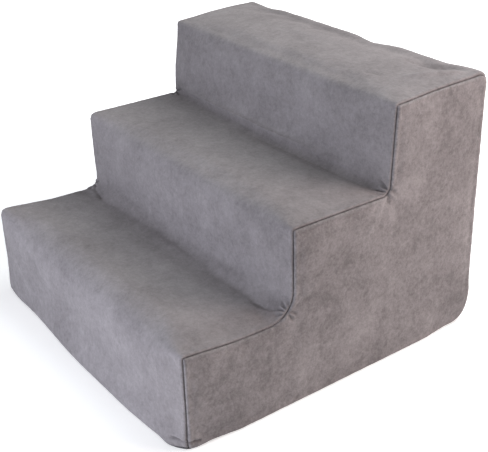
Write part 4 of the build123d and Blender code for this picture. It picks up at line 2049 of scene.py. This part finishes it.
    def _stitch(self, length: float) -> bpy.types.Object:
        """One stitch: a short thread that dips into the fabric at both ends."""
        radius = self.stitch_radius
        half = length / 2
        far_end = [(radius, half * 0.4), (radius * 0.9, half * 0.82), (radius * 0.45, half)]
        near_end = [(width, -place) for width, place in far_end[::-1]]
        points, faces = lathe(near_end + far_end, 6, "X")
        points[:, 1] -= radius * 1.1 * (points[:, 0] / half) ** 2
        stitch = piece_from("stitch_pattern", points, faces)
        outward(stitch)
        return stitch

    def _sewing(self, repeater: Repeater, finishes: Finishes) -> None:
        """Two rows of stitches along each hem, and a bar tack at each end of the zip."""
        form = self.form
        reach = form.slot_half_length + form.slot_taper
        stitch = self._stitch(self.stitch_length)
        across = np.arange(-reach, reach + self.path_step / 2, self.path_step)
        opening = np.array([form.slot_opening(x) for x in across])
        level = np.full(len(across), form.slot_half_height)
        rows = []
        for side in Side:
            for edge, inset in zip((opening, level), self.stitch_rows):
                height = form.zip_height + side.value * (edge + form.fabric_thickness + inset)
                rows.append(np.column_stack([across, np.full(len(across), form.rear), height]))
        normals = np.tile([0.0, 1.0, 0.0], (len(across), 1))
        past_slot = rising(np.abs(across), form.slot_half_length - self.path_step, form.slot_taper)
        copies = round(2 * reach / self.stitch_pitch)
        for number, row in enumerate(rows):
            laid, _ = self.cover.shaped(Patch(row, normals, np.ones(len(row)), []))
            laid[:, 1] += self.stitch_radius * self.stitch_lift * (1 - past_slot)
            name, seed = f"hem_stitches_{number + 1}", number + 3
            made = repeater.run(name, laid, stitch, copies, finishes.thread, self.stitch_sway, seed)
            dress(made, finishes.thread, STAIRS)
        discard(stitch)
        bar = self._stitch(self.tack_length)
        bar.data.transform(Matrix.Rotation(math.radians(90), 4, "Y"))
        depth = form.rear + self.cover.hem_raise
        for side in Side:
            ends = sorted(side.value * (form.slot_half_length + past_slot) for past_slot in self.tack_ends)
            path = np.array([(x, depth, form.zip_height) for x in ends])
            name, seed = f"bar_tack_{side.name.lower()}", 11 + side.value
            made = repeater.run(name, path, bar, self.tack_threads, finishes.thread, self.tack_sway, seed)
            dress(made, finishes.thread, STAIRS)
        discard(bar)


def outward(piece: bpy.types.Object) -> None:
    """Turns every face of a closed piece outwards."""
    shape = bmesh.new()
    shape.from_mesh(piece.data)
    bmesh.ops.recalc_face_normals(shape, faces=shape.faces)
    shape.to_mesh(piece.data)
    shape.free()


@dataclass(frozen=True)
class Lamp:
    """A soft square light."""

    name: str
    place: Point
    target: Point
    size: float
    power: float
    colour: Colour

    def hang(self) -> None:
        """Adds the light to the scene."""
        light = bpy.data.lights.new(self.name, "AREA")
        light.shape = "SQUARE"
        light.size = self.size
        light.energy = self.power
        light.color = self.colour
        lamp = in_scene(light)
        lamp.location = self.place
        aim = Vector(self.target) - Vector(self.place)
        lamp.rotation_euler = aim.to_track_quat("-Z", "Y").to_euler()


@dataclass
class Stage:
    """White floor, soft lights, and a camera where the photograph was taken from."""

    floor_half: float = 4.0
    floor_white: Colour = (0.82, 0.82, 0.82)
    floor_grey: Colour = (0.7, 0.7, 0.7)
    floor_mottle: float = 0.04
    floor_glow: float = 0.5
    far_glow: float = 1.0
    shadow_reach: tuple[float, float] = (0.34, 0.80)
    ambient: Colour = (0.96, 0.97, 1.0)
    ambient_strength: float = 0.28
    azimuth: float = math.radians(54.36)
    elevation: float = math.radians(27.33)
    roll: float = math.radians(-1.66)
    camera_place: Point = (0.8514, -0.5878, 0.6394)
    lens: float = 72.79
    sensor: float = 36.0
    lamps: tuple[Lamp, ...] = (
        Lamp("overhead_softbox", (0.15, 0.60, 1.30), (0.0, 0.1, 0.25), 1.0, 11.1, (0.925, 0.989, 1.0)),
        Lamp("front_softbox", (0.08, -0.98, 0.19), (0.08, -0.2, 0.05), 0.36, 6.25, (0.825, 0.868, 1.0)),
        Lamp("side_softbox", (0.85, 0.58, 0.66), (0.2, 0.12, 0.20), 0.5, 6.75, (1.0, 0.836, 0.785)),
    )

    def build(self) -> None:
        """Sets the stage."""
        self._floor()
        self._world()
        for lamp in self.lamps:
            lamp.hang()
        self._camera()
        bpy.context.scene.view_settings.view_transform = "Standard"

    def _seen_directly(self, tree: TreeBuilder) -> Signal:
        """A value of 1 for rays that show the background, and 0 for those that only light things."""
        path = tree.node("ShaderNodeLightPath").outputs
        camera, glossy, clear = (
            Signal(tree, path[name]) for name in ("Is Camera Ray", "Is Glossy Ray", "Is Transmission Ray")
        )
        return camera.larger(glossy).larger(clear)

    def _floor(self) -> None:
        """The floor: white where it is seen, and darker in the stairs' shadow."""
        half = self.floor_half
        corners = np.array([(-half, -half, 0), (half, -half, 0), (half, half, 0), (-half, half, 0)], float)
        floor = piece_from("floor", corners, [(0, 1, 2, 3)])
        surface = Surface("pale_floor")
        paper = surface.noise(0.3, 2.0)
        white = surface.mixed(self.floor_mottle * paper, self.floor_white, self.floor_grey)
        matt = surface.node("ShaderNodeBsdfDiffuse", None, {"Color": white})
        away = surface.node("ShaderNodeVectorMath", {"operation": "LENGTH"}, {0: surface.place})
        away = Signal(surface, away.outputs["Value"])
        far = surface.clamped(away, *self.shadow_reach) * (self.far_glow - self.floor_glow)
        strength = self._seen_directly(surface) * (far + self.floor_glow)
        glow = surface.node("ShaderNodeEmission", None, {"Color": (1.0, 1.0, 1.0, 1.0), "Strength": strength})
        both = surface.node("ShaderNodeAddShader", None, {0: matt.outputs[0], 1: glow.outputs[0]})
        surface.tree.links.new(both.outputs[0], surface.output.inputs["Surface"])
        floor.data.materials.append(surface.material)

    def _world(self) -> None:
        """The world: white where it is seen, and a soft even light."""
        world = bpy.data.worlds.new("studio")
        world.use_nodes = True
        bpy.context.scene.world = world
        tree = TreeBuilder(world.node_tree)
        seen = self._seen_directly(tree)
        light = tree.node("ShaderNodeBackground", None, {0: (*self.ambient, 1.0), 1: self.ambient_strength})
        white = tree.node("ShaderNodeBackground", None, {0: (1.0, 1.0, 1.0, 1.0), 1: 1.0})
        mixed = tree.node("ShaderNodeMixShader", None, {0: seen, 1: light.outputs[0], 2: white.outputs[0]})
        tree.node("ShaderNodeOutputWorld", None, {0: mixed.outputs[0]})

    def _camera(self) -> None:
        """The camera, placed by the fit of the side panel's seams in the photograph."""
        lens = bpy.data.cameras.new("camera")
        lens.lens, lens.sensor_width = self.lens, self.sensor
        lens.clip_start, lens.clip_end = 0.05, 50.0
        camera = in_scene(lens)
        back = Vector(
            (
                math.sin(self.azimuth) * math.cos(self.elevation),
                -math.cos(self.azimuth) * math.cos(self.elevation),
                math.sin(self.elevation),
            )
        )
        level_right = (-back).cross(Vector((0.0, 0.0, 1.0))).normalized()
        level_up = level_right.cross(-back)
        right = math.cos(self.roll) * level_right + math.sin(self.roll) * level_up
        up = math.cos(self.roll) * level_up - math.sin(self.roll) * level_right
        turn = Matrix((right, up, back)).transposed()
        camera.matrix_world = Matrix.Translation(self.camera_place) @ turn.to_4x4()
        bpy.context.scene.camera = camera


def main() -> None:
    """Builds the stairs, sub-assembly by sub-assembly, and the stage round them."""
    logging.basicConfig(level=logging.INFO, format="%(name)s: %(message)s")
    Stage().build()
    finishes = Finishes()
    form = StairForm()
    cover = Cover(form)
    cover.build(finishes)
    FoamCore(cover).build(finishes)
    GripUnderside(form).build(finishes)
    ZipFastener(form, cover).build(finishes)


if __name__ == "__main__":
    main()
